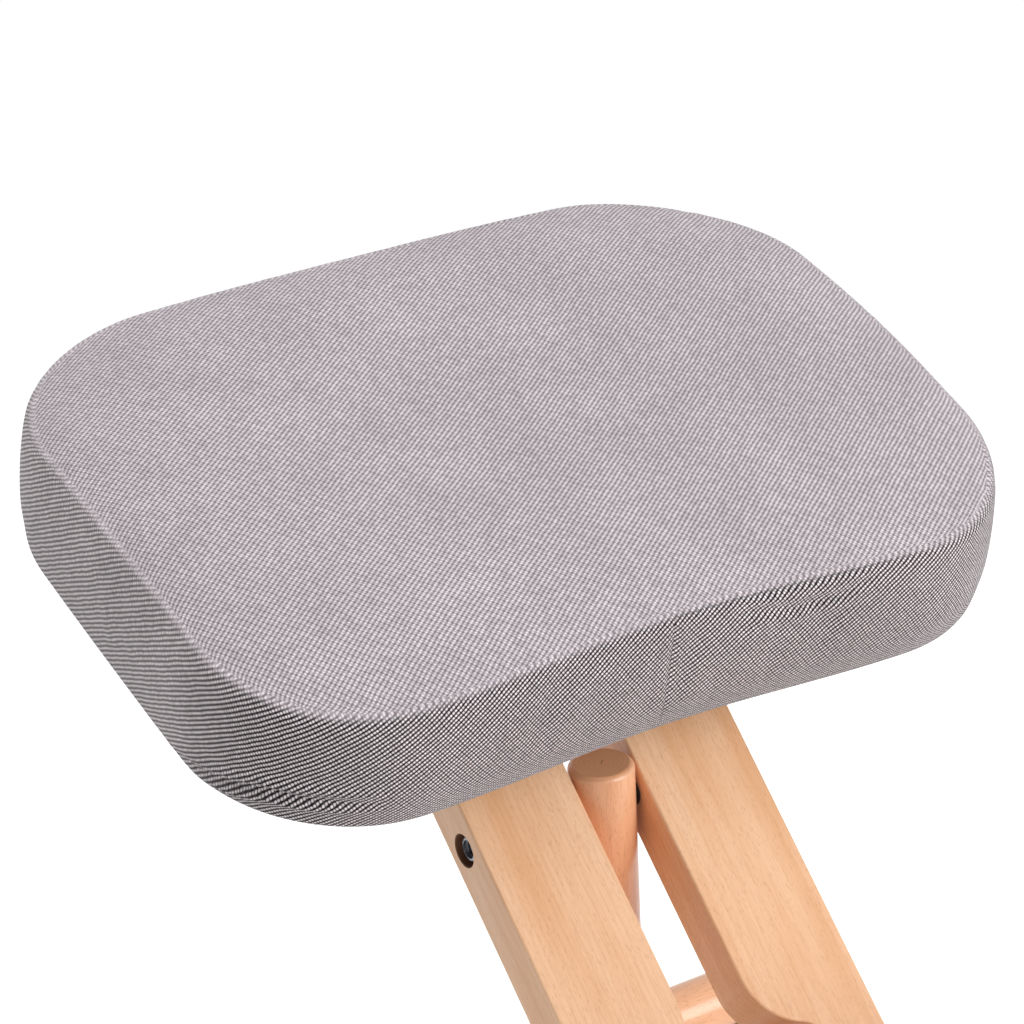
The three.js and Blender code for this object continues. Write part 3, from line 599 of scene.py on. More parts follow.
class Finish:
    """A material in the making: its tree, its surface shader and its coordinates."""

    def __init__(self, name: str, colour: tuple, roughness: float, metallic: float = 0.0) -> None:
        """Starts a material with a plain surface."""
        self.material = bpy.data.materials.new(name)
        self.material.use_nodes = True
        self.graph = Graph(self.material.node_tree)
        self.surface = self.material.node_tree.nodes["Principled BSDF"]
        self.set(Base_Color=colour, Roughness=roughness, Metallic=metallic)
        coordinates = self.graph.node("ShaderNodeTexCoord").outputs
        self.object = coordinates["Object"]
        self.normal = coordinates["Normal"]

    def set(self, **sockets: object) -> None:
        """Sets or links the surface's sockets, whose names have a line where the keyword has a space."""
        for label, value in sockets.items():
            self.graph.feed(self.surface.inputs[label.replace("_", " ")], value)

    def placed(self, group: bpy.types.NodeTree, **inputs: object) -> bpy.types.bpy_prop_collection:
        """Places a shared group and returns its outputs."""
        return self.graph.wired("ShaderNodeGroup", inputs, node_tree=group).outputs


@dataclass(frozen=True)
class Beech:
    """Satin lacquered beech. The pith's place sets how the rings meet the surface."""

    name: str
    pale: Colour
    deep: Colour
    fleck: Colour
    end: Colour
    pith: tuple[float, float, float]
    ring: float = 3.4
    ring_share: float = 0.22
    fleck_share: float = 0.45
    streak_share: float = 0.24
    contrast: float = 2.6
    paleness: float = 0.85
    gloss: float = 0.42
    coat: float = 0.12
    coat_gloss: float = 0.16

    def material(self) -> bpy.types.Material:
        """Builds the finish."""
        pale, deep, fleck = linear(*self.pale), linear(*self.deep), linear(*self.fleck)
        made = Finish(self.name, pale, self.gloss)
        graph = made.graph
        pith = tuple(part * MM for part in self.pith)
        grain = made.placed(grain_group(), Coordinates=made.object, Pith=pith, Ring=self.ring * MM)
        shade = graph.maths("MULTIPLY_ADD", grain["Tone"], self.contrast, -self.paleness, clamp=True)
        ringed = graph.maths("MULTIPLY_ADD", grain["Rings"], self.ring_share, shade, clamp=True)
        streak = graph.times(graph.span(grain["Pores"], 0.4, 0.75), self.streak_share)
        colour = graph.blend(streak, graph.blend(ringed, pale, deep), fleck)
        colour = graph.blend(graph.times(grain["Flecks"], self.fleck_share), colour, fleck)
        marked = graph.maths("MULTIPLY_ADD", grain["Flecks"], 0.2, graph.times(grain["Rings"], 0.16))
        marked = graph.maths("MAXIMUM", marked, graph.times(grain["Crack"], 0.9))
        at_end = graph.span(graph.maths("ABSOLUTE", graph.parts(made.normal)[1]), 0.55, 0.95)
        relief = graph.maths("MULTIPLY_ADD", grain["Flecks"], -0.6, grain["Pores"])
        made.set(
            Base_Color=graph.blend(at_end, colour, graph.blend(marked, linear(*self.end), fleck)),
            Roughness=graph.span(grain["Tone"], 0.2, 0.8, self.gloss - 0.05, self.gloss + 0.08),
            Coat_Weight=self.coat,
            Coat_Roughness=self.coat_gloss,
            Normal=graph.bump(relief, 0.00006, 0.6),
        )
        return made.material


@dataclass(frozen=True)
class WovenCover:
    """Upholstery cloth whose top and boxing wear lit and shaded copies of its colours: on the boxing, painted
    shade darkens the gaps and shows more of them, and painted light brightens the nubs.
    """

    name: str
    nub_top: Colour
    gap_top: Colour
    # The boxing's copies: nubs painted lighter and gaps painted darker than the top's, as painted light and
    # shade of light grazing the weave
    nub_side_light: Colour
    gap_side_shade: Colour
    along: float = 3.48
    across: float = 2.5
    bias: float = math.radians(-37)
    top_shallow: float = 0.7
    # On the boxing the shallow gaps go deeper and more of every gap shows (side_gap): painted shade in the
    # weave
    side_shade_shallow: float = 0.85
    top_gap: float = 0.88
    side_gap: float = 1.12
    # Less dark ground shows on the left of the boxing: painted light that makes that side brighter
    left_light_gap: float = 0.8
    left_light_from: float = -320.0
    left_light_to: float = -220.0
    stitch: float = 3.1
    stitches_down: float = 3.4

    def material(self) -> bpy.types.Material:
        """Builds the finish."""
        made = Finish(self.name, linear(*self.nub_top), 0.92)
        graph = made.graph
        cloth = graph.node("ShaderNodeUVMap", uv_map=CLOTH_MAP).outputs[0]
        side = graph.mark(SIDE_MARK).outputs["Fac"]
        seam = graph.mark(SEAM_MARK).outputs["Fac"]
        along, down, _ = graph.parts(graph.mark(LAID_MARK).outputs["Vector"])
        weave = made.placed(weave_group(), Coordinates=cloth, Bias=self.bias, Along=self.along * MM,
                            Across=self.across * MM,
                            Shallow=graph.span(side, 0.0, 1.0, self.top_shallow, self.side_shade_shallow))
        # The side mark switches from the top's colours to the boxing's painted light and shade copies
        nub = graph.blend(side, linear(*self.nub_top), linear(*self.nub_side_light))
        gap = graph.blend(side, linear(*self.gap_top), linear(*self.gap_side_shade))
        gap_share_with_side_shade = graph.span(side, 0.0, 1.0, self.top_gap, self.side_gap)
        # The share of dark ground shown: more on the boxing as painted shade, less on the boxing's left as
        # painted light, and less on the seam rows
        shown = graph.times(graph.maths("MULTIPLY", weave["Gap"], gap_share_with_side_shade, clamp=True),
                            graph.span(along, self.left_light_from, self.left_light_to, self.left_light_gap, 1.0),
                            graph.span(seam, 0.1, 0.9, 1.0, 0.9))
        # At the seam rows the yarn is painted darker: painted shade that tones down the light on the rounded
        # ridge
        shade = graph.times(graph.maths("MULTIPLY_ADD", weave["Yarn"], 0.28, 0.84),
                            graph.maths("MULTIPLY_ADD", weave["Fuzz"], 0.45, 0.78),
                            self.seam_and_stitch_shade(graph, side, along, down),
                            graph.span(seam, 0.2, 1.0, 1.0, 0.92),
                            graph.maths("MULTIPLY_ADD", graph.noise(made.object, 16.0, 3.0), 0.3, 0.86))
        grey = graph.vector(shade, shade, shade)
        relief = graph.maths("MULTIPLY_ADD", weave["Fuzz"], 0.2, weave["Nub"])
        made.set(
            Base_Color=graph.blend(1.0, graph.blend(shown, nub, gap), grey, "MULTIPLY"),
            Roughness=graph.maths("MULTIPLY_ADD", weave["Fuzz"], 0.1, 0.85),
            Sheen_Weight=0.15,
            Sheen_Roughness=0.5,
            Specular_IOR_Level=0.2,
            Normal=graph.bump(relief, 0.0004, 0.6),
        )
        return made.material

    def seam_and_stitch_shade(self, graph: Graph, side: bpy.types.NodeSocket, along: bpy.types.NodeSocket,
                 down: bpy.types.NodeSocket) -> bpy.types.NodeSocket:
        """Painted shade along the upright seam, and the stitches under the ridge drawn as a dashed dark line
        that is also painted shade under the ridge; they show more on the right of the upright seam.
        """
        # Painted shade along the upright seam
        upright = graph.times(graph.span(graph.maths("ABSOLUTE", along), 0.35, 1.0, 0.2, 0.0), side)
        stitch = graph.maths("ABSOLUTE", graph.maths("SINE", graph.times(along, math.pi / self.stitch)))
        off_row = graph.maths("ABSOLUTE", graph.maths("SUBTRACT", down, self.stitches_down))
        right = graph.times(graph.span(along, -1.0, 3.0), graph.span(along, 110.0, 190.0, 1.0, 0.0))
        strength = graph.maths("MULTIPLY_ADD", right, 0.34, 0.12)
        # The dashed stitch line under the ridge, darkened as painted shade
        sewn = graph.times(graph.span(off_row, 0.3, 0.8, 1.0, 0.0), graph.span(stitch, 0.15, 0.5), strength)
        return graph.maths("SUBTRACT", 1.0, graph.maths("MAXIMUM", upright, sewn))


@dataclass(frozen=True)
class PlainFinish:
    """Metal, plastic or rubber with small marks of making and handling."""

    name: str
    colour: Colour
    marked: Colour
    roughness: float
    metallic: float = 0.0
    mottle: float = 0.00002
    scratches: float = 0.15

    def material(self) -> bpy.types.Material:
        """Builds the finish."""
        made = Finish(self.name, linear(*self.colour), self.roughness, self.metallic)
        graph = made.graph
        marks = made.placed(handling_group(), Coordinates=made.object)
        smudged = graph.times(graph.span(marks["Smudge"], 0.35, 0.75), 0.7)
        rough = graph.span(marks["Smudge"], 0.3, 0.7, self.roughness * 0.85, self.roughness * 1.15)
        relief = graph.maths("MULTIPLY_ADD", marks["Scratch"], -0.5, marks["Mottle"])
        made.set(
            Base_Color=graph.blend(smudged, linear(*self.colour), linear(*self.marked)),
            Roughness=graph.maths("MULTIPLY_ADD", marks["Scratch"], self.scratches, rough, clamp=True),
            Normal=graph.bump(relief, self.mottle, 0.5),
        )
        return made.material


@dataclass(frozen=True)
class Plywood:
    """Birch plywood: thin plies in turn along and across, stacked on Z."""

    name: str
    pale: Colour
    deep: Colour
    ply: float = 1.5

    def material(self) -> bpy.types.Material:
        """Builds the finish."""
        made = Finish(self.name, linear(*self.pale), 0.7)
        graph = made.graph
        grain = made.placed(grain_group(), Coordinates=made.object, Pith=(0.3, 0.0, 0.4), Ring=0.004)
        height = graph.parts(made.object)[2]
        layer = graph.maths("FRACT", graph.maths("DIVIDE", height, 2 * self.ply * MM))
        across = graph.times(graph.span(layer, 0.46, 0.54), 0.5)
        share = graph.maths("MULTIPLY_ADD", grain["Pores"], 0.5, across, clamp=True)
        made.set(
            Base_Color=graph.blend(share, linear(*self.pale), linear(*self.deep)),
            Roughness=graph.span(grain["Tone"], 0.2, 0.8, 0.62, 0.8),
            Normal=graph.bump(grain["Pores"], 0.0001, 0.5),
        )
        return made.material


@dataclass(frozen=True)
class Lining:
    """Black spun lining under a cushion, with its pattern of small bonded points."""

    name: str
    colour: Colour
    bonded: Colour
    point: float = 1.6

    def material(self) -> bpy.types.Material:
        """Builds the finish."""
        made = Finish(self.name, linear(*self.colour), 0.85)
        graph = made.graph
        turn = math.pi / (self.point * MM)
        x, y, _ = graph.parts(made.object)
        waves = [graph.maths("SINE", graph.times(part, turn)) for part in (x, y)]
        bonded = graph.span(graph.times(*waves), 0.45, 0.75)
        fibres = graph.noise(graph.scaled(made.object, (1, 0.3, 1)), 2400.0, 3.0, 0.7)
        share = graph.maths("MULTIPLY_ADD", graph.span(fibres, 0.45, 0.8), 0.5, graph.times(bonded, 0.5))
        made.set(
            Base_Color=graph.blend(share, linear(*self.colour), linear(*self.bonded)),
            Roughness=graph.maths("MULTIPLY_ADD", bonded, -0.25, 0.9),
            Normal=graph.bump(graph.maths("SUBTRACT", fibres, bonded), 0.0002, 0.6),
        )
        return made.material


RAIL_BEECH = Beech("beech_rail", (250, 206, 167), (236, 179, 132), (198, 130, 86), (220, 156, 110),
                   (70, 0, -46))
# The round stock's end colour is end grain painted lighter than the side grain: painted light on the post's
# head, which stands in the seat's shadow
ROUND_BEECH = Beech("beech_round", (244, 188, 146), (230, 168, 126), (172, 110, 74), (255, 186, 140),
                    (1, 0, 0.6), ring=2.6, gloss=0.3, coat=0.35)
# The walls of bores: raw end grain, darkened further with painted shade inside the holes
BORE_SHADE_BEECH = Beech("beech_bore_shade", (128, 84, 56), (104, 66, 44), (74, 46, 30), (110, 72, 48),
                    (70, 0, -46), gloss=0.7, coat=0.0)
# The boxing's colours are painted light and shade copies of the top's
COVER = WovenCover("woven_cover", (213, 204, 209), (104, 94, 101), (232, 223, 225), (22, 13, 17))
ZINC = PlainFinish("zinc_steel", (152, 154, 159), (128, 130, 136), 0.3, 1.0)
NYLON = PlainFinish("nylon", (30, 30, 32), (40, 40, 42), 0.45)
RUBBER = PlainFinish("rubber_foot", (40, 40, 42), (54, 54, 56), 0.75, mottle=0.00006)
KNOB_PLASTIC = PlainFinish("knob_plastic", (26, 26, 28), (36, 36, 38), 0.4, mottle=0.00008, scratches=0.05)
BIRCH_PLY = Plywood("plywood", (206, 172, 126), (170, 130, 88))
LINING = Lining("lining", (24, 24, 26), (44, 44, 47))


@lru_cache(maxsize=None)
def dressed_in(finish: Beech | WovenCover | PlainFinish | Plywood | Lining) -> bpy.types.Material:
    """The material of a finish, built once."""
    return finish.material()


# Frame


@dataclass
class Layout:
    """Where the chair's axes stand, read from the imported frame, in millimetres."""

    joints: dict[str, Vector]
    seat_setback: float = 97.0
    seat_rise: float = 130.0
    seat_tilt: float = math.radians(15)

    @classmethod
    def from_frame(cls) -> "Layout":
        """Reads the joints' places."""
        return cls({joint["name"]: Vector(joint["pos_m"]) / MM for joint in frame["joints"]})

    @property
    def top(self) -> Vector:
        """The bolt at the post's head."""
        return self.joints["post_swing"]

    @property
    def cross(self) -> Vector:
        """The bolt where the rails cross."""
        return self.joints["seat_height"]

    @property
    def clamp(self) -> Vector:
        """The clamp bolt at the post's foot."""
        knob = self.joints["clamp_knob_turn"]
        return Vector((0, knob.y, knob.z))

    @property
    def slope(self) -> float:
        """How steeply the wide rails stand."""
        return math.atan2(self.top.z - self.cross.z, self.top.y - self.cross.y)

    @property
    def rise(self) -> float:
        """How steeply the slotted rails fall to the rear."""
        return math.atan2(self.cross.z - self.clamp.z, self.clamp.y - self.cross.y)

    @property
    def cross_along(self) -> float:
        """From the top bolt to the crossing, down the wide rails."""
        return (self.top - self.cross).length

    @property
    def post_length(self) -> float:
        """From the top bolt to the clamp bolt."""
        return self.top.z - self.clamp.z

    @staticmethod
    def bar_centre(end: str) -> Vector:
        """The middle of a foot bar."""
        low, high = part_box(f"{end}_foot_bar")
        return (low + high) / 2 / MM

    @property
    def seat_frame(self) -> Matrix:
        """Axes at the top bolt, +Y up the wide rails."""
        return frame_at(self.top.y, self.top.z, self.slope)

    @property
    def seat_unit(self) -> Matrix:
        """Axes at the middle of the seat's hem."""
        return frame_at(self.top.y + self.seat_setback, self.top.z + self.seat_rise, self.seat_tilt)

    @property
    def knee_frame(self) -> Matrix:
        """Axes at the rear bar, +Y up behind it along the slotted rails."""
        rear = self.bar_centre("rear")
        return frame_at(rear.y, rear.z, -self.rise)


@dataclass
class Stock:
    """Sizes that several pieces share."""

    round_stock: float = 38.0
    post_side_gap: float = 1.6
    pivot_bolt: float = 8.0
    bar_bolt: float = 6.0
    board_bolt: float = 6.0
    rail_edge: float = 1.6
    dust_cover: float = 1.0
    board: float = 12.0
    knee_rail_width: float = 32.0
    pivot_washer: float = 2.0
    seat_rail_width: float = 70.0
    barrel_nut: float = 10.0
    barrel_nut_length: float = 20.0
    barrel_nut_from_bar: float = 55.0
    board_counterbore: float = 16.0
    bar_under_head: float = 11.0

    @property
    def rail_inner(self) -> float:
        """Where the rails' inner faces stand."""
        return self.round_stock / 2 + self.post_side_gap

    @property
    def rail_outer(self) -> float:
        """Where the wide rails' outer faces stand."""
        return self.rail_inner + self.seat_rail_width

    @property
    def knee_outer(self) -> float:
        """Where the slotted rails' outer faces stand."""
        return self.rail_inner + self.knee_rail_width

    @property
    def knee_middle(self) -> float:
        """The middle of a slotted rail."""
        return (self.rail_inner + self.knee_outer) / 2

    @property
    def leg_inner(self) -> float:
        """Where the narrow legs' inner faces stand."""
        return self.knee_outer + self.pivot_washer + 2 * CLEARANCE

    @property
    def leg_middle(self) -> float:
        """The middle of a narrow leg."""
        return (self.leg_inner + self.rail_outer) / 2


def hole(diameter: float) -> float:
    """A hole that a bolt passes through."""
    return diameter + 2 * CLEARANCE


def bar_bolt_cuts(stock: Stock, side: int, middle: float, outer: float, along: float, way: int) -> list[Cut]:
    """The cross hole of a barrel nut, drilled from a rail's outer face, and the hole of its bolt."""
    depth = outer - middle + stock.barrel_nut_length / 2 + CLEARANCE
    nut = drill(hole(stock.barrel_nut), depth, SMALL_SIDES)
    bolt = rod(hole(stock.bar_bolt), 0, 2 * stock.barrel_nut_from_bar, SMALL_SIDES)
    return [
        Cut(nut, aimed((side * outer, along + way * stock.barrel_nut_from_bar, 0), (side, 0, 0))),
        Cut(bolt, aimed((side * middle, along, 0), (0, way, 0))),
    ]


def saddle_cut(stock: Stock, outer: float, along: float) -> Cut:
    """The hollow where a rail sits on its round bar."""
    bar = rod(stock.round_stock + 2 * CLEARANCE, -outer - OVERRUN, outer + OVERRUN)
    return Cut(bar, aimed((0, along, 0), (1, 0, 0)))


def bored_beech(piece: bpy.types.Object, cuts: list[Cut], axes: Matrix, node: str) -> None:
    """Bores a piece of beech, its bores' walls in a dark finish that is raw end grain with painted shade, and
    has it stand for a node of the frame.
    """
    combined(piece, cuts, axes, "DIFFERENCE", dressed_in(BORE_SHADE_BEECH))
    stands_for(smoothed(piece), node)


@dataclass
class SeatRails:
    """The pair of wide rails: they carry the seat, hold the post's head and stand on the front bar."""

    layout: Layout
    stock: Stock
    thickness: float = 35.0
    notch_start: float = 123.0
    shoulder: float = 38.0
    hollow: float = 18.0
    tip_clip: float = 9.0
    counterbore: float = 19.0
    counterbore_depth: float = 9.5
    bolt_from_tip: float = 47.0
    bolt_spacing: float = 36.0
    wood_under_head: float = 12.0

    def __post_init__(self) -> None:
        """Works out where the seat cuts the rails."""
        to_bar = self.layout.top - self.layout.bar_centre("front")
        self.foot_along = math.hypot(to_bar.y, to_bar.z)
        self.to_frame = self.layout.seat_frame.inverted() @ self.layout.seat_unit
        self.to_seat = self.to_frame.inverted()
        self.underside = -self.stock.dust_cover - CLEARANCE
        spot = self.to_seat @ Vector((0, 0, -self.thickness / 2))
        self.tip_along = (self.underside - spot.z) / math.sin(self.layout.slope - self.layout.seat_tilt)
        self.tip_y = (self.to_seat @ Vector((0, self.tip_along, -self.thickness / 2))).y

    def bolt_places(self) -> list[tuple[float, float]]:
        """Where the board's bolts stand, as the seat sees them."""
        middle = self.stock.rail_inner + self.stock.seat_rail_width / 2
        y = self.tip_y - self.bolt_from_tip
        half = self.bolt_spacing / 2
        return [(side * (middle + end * half), y) for side in SIDES.values() for end in (-1, 1)]

    def outline(self, side: int) -> np.ndarray:
        """The front outline of a rail: full width above, drawn out to a narrow leg below the post."""
        stock = self.stock
        bend = self.shoulder + self.hollow
        angle = math.acos(1 - (stock.leg_inner - stock.rail_inner) / bend)
        hollow_y = -self.notch_start - bend * math.sin(angle)
        top = self.tip_along + OVERRUN
        shoulder = (stock.rail_inner + self.shoulder, -self.notch_start)
        points = [(stock.rail_outer, -self.foot_along), (stock.rail_outer, top), (stock.rail_inner, top)]
        points += arc(shoulder, self.shoulder, math.pi, math.pi + angle)
        points += arc((stock.leg_inner - self.hollow, hollow_y), self.hollow, angle, 0)[1:]
        points.append((stock.leg_inner, -self.foot_along))
        return np.array(points) * (side, 1)

    def cuts(self, side: int) -> list[Cut]:
        """The seat bevel, the pivot holes, the saddle and the bolt holes of a rail."""
        stock = self.stock
        size = self.foot_along + self.tip_along
        cube = block((size, size, size))
        above = Matrix.Translation((0, 0, size / 2 + self.underside))
        past = Matrix.Translation((0, size / 2 + self.tip_y - self.tip_clip, 0))
        cuts = [Cut(cube, self.to_frame @ above), Cut(cube, self.to_frame @ past)]
        through = -stock.seat_rail_width - OVERRUN / 2
        for along in (0.0, -self.layout.cross_along):
            outer = aimed((side * stock.rail_outer, along, 0), (side, 0, 0))
            cuts.append(Cut(drill(self.counterbore, self.counterbore_depth), outer))
            cuts.append(Cut(rod(hole(stock.pivot_bolt), through, 0, SMALL_SIDES), outer))
        cuts.append(saddle_cut(stock, stock.rail_outer, -self.foot_along))
        cuts += bar_bolt_cuts(stock, side, stock.leg_middle, stock.rail_outer, -self.foot_along, 1)
        floor = self.underside - self.wood_under_head
        deep = 2 * self.thickness
        wide = stock.board_counterbore / 2
        narrow = hole(stock.board_bolt) / 2
        steps = [(0, -deep), (wide, -deep), (wide, 0), (narrow, 0), (narrow, OVERRUN), (0, OVERRUN)]
        for x, y in self.bolt_places():
            if x * side > 0:
                stand = self.to_frame @ aimed((x, y, floor), (0, 0, 1))
                cuts.append(Cut(turned(steps, SMALL_SIDES), stand))
        return cuts

    def build(self) -> None:
        """Makes both rails."""
        for label, side in SIDES.items():
            form = extruded(self.outline(side), self.thickness, self.stock.rail_edge)
            form = form.moved(Matrix.Translation((0, 0, -self.thickness / 2)))
            axes = self.layout.seat_frame
            rail = new_piece(f"shaped_seat_rail_{label}", form, axes, dressed_in(RAIL_BEECH))
            bored_beech(rail, self.cuts(side), axes, f"seat_rail_{label}")


@dataclass
class KneeRails:
    """The pair of slotted rails: they carry the knee pad, take the clamp and stand on the rear bar."""

    layout: Layout
    stock: Stock
    pad_reach: float = 577.0
    pad_depth: float = 205.0
    depth: float = 45.0
    nose: float = 16.0
    short_of_bar: float = 6.0
    slot_travel: float = 90.0
    slot_side_play: float = 1.2
    bolt_spacing: float = 120.0
    wood_under_head: float = 24.0

    def from_bar(self, spot: Vector) -> float:
        """How far up the rails a spot lies from the rear bar."""
        return (self.layout.bar_centre("rear").y - spot.y) / math.cos(self.layout.rise)

    @property
    def cross_along(self) -> float:
        """From the rear bar to the crossing."""
        return self.from_bar(self.layout.cross)

    @property
    def clamp_along(self) -> float:
        """From the rear bar to the clamp bolt."""
        return self.from_bar(self.layout.clamp)

    @property
    def pad_height(self) -> float:
        """Where the pad's hem lies above the rails' middle."""
        return self.depth / 2 + CLEARANCE + self.stock.dust_cover

    @property
    def pad_unit(self) -> Matrix:
        """Axes at the middle of the pad's hem."""
        return self.layout.knee_frame @ Matrix.Translation((0, -self.pad_reach, self.pad_height))

    def bolt_places(self) -> list[tuple[float, float]]:
        """Where the board's bolts stand, as the pad sees them."""
        middle = self.stock.knee_middle
        half = self.bolt_spacing / 2
        return [(side * middle, end * half) for side in SIDES.values() for end in (-1, 1)]

    def outline(self) -> np.ndarray:
        """The side outline of a rail, drawn as along and height, its nose forwards."""
        half = self.depth / 2
        front = self.pad_depth / 2 + self.pad_reach - half
        points = [(-self.short_of_bar, -half), (-self.short_of_bar, half)]
        points += arc((-front + self.nose, half - self.nose), self.nose, math.pi / 2, math.pi)
        points += arc((-front + self.nose, self.nose - half), self.nose, math.pi, 1.5 * math.pi)
        return np.array(points)

    def slot_cut(self, side: int) -> Cut:
        """The round-ended slot of a rail, one closed form whose edge is broken at the outer face."""
        outer = self.stock.knee_outer
        radius = self.stock.pivot_bolt / 2 + self.slot_side_play
        end = self.slot_travel / 2
        above = OVERRUN / 4
        rings = []
        for reach, wider in ((0.0, 0.0), (outer - LIP, 0.0), (outer + above, LIP + above)):
            outline = arc((end, 0), radius + wider, -math.pi / 2, math.pi / 2)
            outline += arc((-end, 0), radius + wider, math.pi / 2, 1.5 * math.pi)
            rings.append(np.column_stack([np.full(len(outline), side * reach), np.array(outline)]))
        return Cut(skinned(rings), Matrix.Translation((0, -self.clamp_along, 0)))

    def cuts(self, side: int) -> list[Cut]:
        """The saddle, the slot, the pivot hole and the bolt holes of a rail."""
        stock = self.stock
        reach = stock.knee_outer + OVERRUN
        cuts = [saddle_cut(stock, stock.knee_outer, 0.0), self.slot_cut(side)]
        pivot = rod(hole(stock.pivot_bolt), -reach, reach, SMALL_SIDES)
        cuts.append(Cut(pivot, aimed((0, -self.cross_along, 0), (1, 0, 0))))
        cuts += bar_bolt_cuts(stock, side, stock.knee_middle, stock.knee_outer, 0.0, -1)
        bolt = drill(stock.board_counterbore, self.depth - self.wood_under_head, SMALL_SIDES,
                     pilot=hole(stock.board_bolt), reach=self.depth + OVERRUN)
        for x, y in self.bolt_places():
            if x * side > 0:
                cuts.append(Cut(bolt, aimed((x, y - self.pad_reach, -self.depth / 2), (0, 0, -1))))
        return cuts

    def build(self) -> None:
        """Makes both rails."""
        along_y = Matrix(((0, 0, 1, 0), (1, 0, 0, 0), (0, 1, 0, 0), (0, 0, 0, 1)))
        width = self.stock.knee_rail_width
        for label, side in SIDES.items():
            form = extruded(self.outline(), width, self.stock.rail_edge)
            form = form.moved(Matrix.Translation((0, 0, -width / 2))).moved(along_y)
            form = form.moved(Matrix.Translation((side * self.stock.knee_middle, 0, 0)))
            axes = self.layout.knee_frame
            rail = new_piece(f"shaped_knee_rail_{label}", form, axes, dressed_in(RAIL_BEECH))
            bored_beech(rail, self.cuts(side), axes, f"knee_rail_{label}")


def round_bar(diameter: float, length: float, rim: float) -> Form:
    """A round bar with rounded ends. It stands on +Y from the origin."""
    profile = [(0.0, 0.0)]
    profile += [(diameter / 2 - inset, height) for inset, height in eased(rim, 2 * EDGE_STEPS)]
    upper = [(radius, length - height) for radius, height in reversed(profile)]
    return turned(profile + upper, FINE_SIDES * 2)


@dataclass
class RoundStock:
    """The post and both foot bars, turned from round beech."""

    layout: Layout
    stock: Stock
    post_head: float = 25.0
    post_tail: float = 24.0
    post_rim: float = 3.6
    bar_length: float = 480.0
    bar_rim: float = 6.0
    bar_counterbore: float = 13.0

    def build_post(self) -> None:
        """Makes the post with its two cross holes."""
        length = self.post_head + self.layout.post_length + self.post_tail
        axes = Matrix.Translation(self.layout.top)
        stand = axes @ aimed((0, 0, self.post_head), (0, 0, -1))
        reach = self.stock.round_stock
        form = round_bar(reach, length, self.post_rim)
        post = new_piece("turned_post", form, stand, dressed_in(ROUND_BEECH))
        bore = rod(hole(self.stock.pivot_bolt), -reach, reach, SMALL_SIDES)
        cuts = [Cut(bore, aimed((0, 0, height), (1, 0, 0))) for height in (0.0, -self.layout.post_length)]
        bored_beech(post, cuts, axes, "post")

    def build_bar(self, end: str, way: Vector, bolt_x: float) -> None:
        """Makes a foot bar.

        Args:
            end: front or rear.
            way: The way its rails leave it.
            bolt_x: How far from the middle its bolts stand.
        """
        axes = Matrix.Translation(self.layout.bar_centre(end))
        stand = axes @ aimed((-self.bar_length / 2, 0, 0), (1, 0, 0))
        reach = self.stock.round_stock
        form = round_bar(reach, self.bar_length, self.bar_rim)
        bar = new_piece(f"turned_{end}_bar", form, stand, dressed_in(ROUND_BEECH))
        bore = rod(hole(self.stock.bar_bolt), -reach, reach, SMALL_SIDES)
        counterbore = rod(self.bar_counterbore, -reach, -self.stock.bar_under_head, SMALL_SIDES)
        cuts = []
        for side in SIDES.values():
            across = aimed((side * bolt_x, 0, 0), way)
            cuts += [Cut(bore, across), Cut(counterbore, across)]
        bored_beech(bar, cuts, axes, f"{end}_foot_bar")

    def build(self) -> None:
        """Makes the post and both bars."""
        self.build_post()
        slope, rise = self.layout.slope, self.layout.rise
        self.build_bar("front", Vector((0, math.cos(slope), math.sin(slope))), self.stock.leg_middle)
        self.build_bar("rear", Vector((0, -math.cos(rise), math.sin(rise))), self.stock.knee_middle)


# Fasteners and fittings


class Drive(Enum):
    """What a bolt's head is turned by."""

    SOCKET = "socket"
    NONE = "plain"


@dataclass(frozen=True)
class Bolt:
    """A bolt whose head is up +Y, with the head's underside at the origin."""

    diameter: float
    head: float
    head_height: float
    socket: float = 0.0
    flange: float = 0.0
    flange_thickness: float = 0.0
    pitch: float = 1.25
    thread_share: float = 0.45
    ease: float = 0.6
    drive: Drive = Drive.SOCKET

    def shank(self, length: float) -> list[tuple[float, float]]:
        """The profile of the threaded end and the plain shank, from the end upwards."""
        radius = self.diameter / 2
        depth = 0.5 * self.pitch
        profile = [(0.0, -length), (radius - depth, -length), (radius - depth / 4, -length + self.ease)]
        turns = int(length * self.thread_share / self.pitch)
        low = -length + self.ease
        for turn in range(turns):
            base = low + turn * self.pitch
            profile.append((radius - depth, base + 0.25 * self.pitch))
            profile.append((radius, base + 0.75 * self.pitch))
        profile.append((radius, low + (turns + 1) * self.pitch))
        profile.append((radius, 0.0))
        return profile

    def form(self, length: float) -> Form:
        """The whole bolt, its socket still to be cut."""
        profile = self.shank(length)
        half = self.head / 2
        if self.drive is Drive.NONE:
            for step in range(DOME_STEPS):
                turn = math.pi / 2 * step / DOME_STEPS
                profile.append((half * math.cos(turn), self.head_height * math.sin(turn)))
        else:
            if self.flange:
                rim = self.flange / 2
                profile += [(rim, 0.0), (rim, self.flange_thickness * 0.6), (half, self.flange_thickness)]
            else:
                profile.append((half, 0.05))
            profile.append((half, self.head_height - self.ease))
            profile.append((half - self.ease * 0.3, self.head_height - self.ease * 0.3))
            profile.append((half - self.ease, self.head_height))
        profile.append((0.0, self.head_height))
        return turned(profile, SMALL_SIDES)

    def cutters(self) -> list[Cut]:
        """The hexagon socket."""
        if self.drive is Drive.NONE:
            return []
        floor = self.head_height / 2
        return [Cut(hexagonal(self.socket, floor, self.head_height + OVERRUN))]


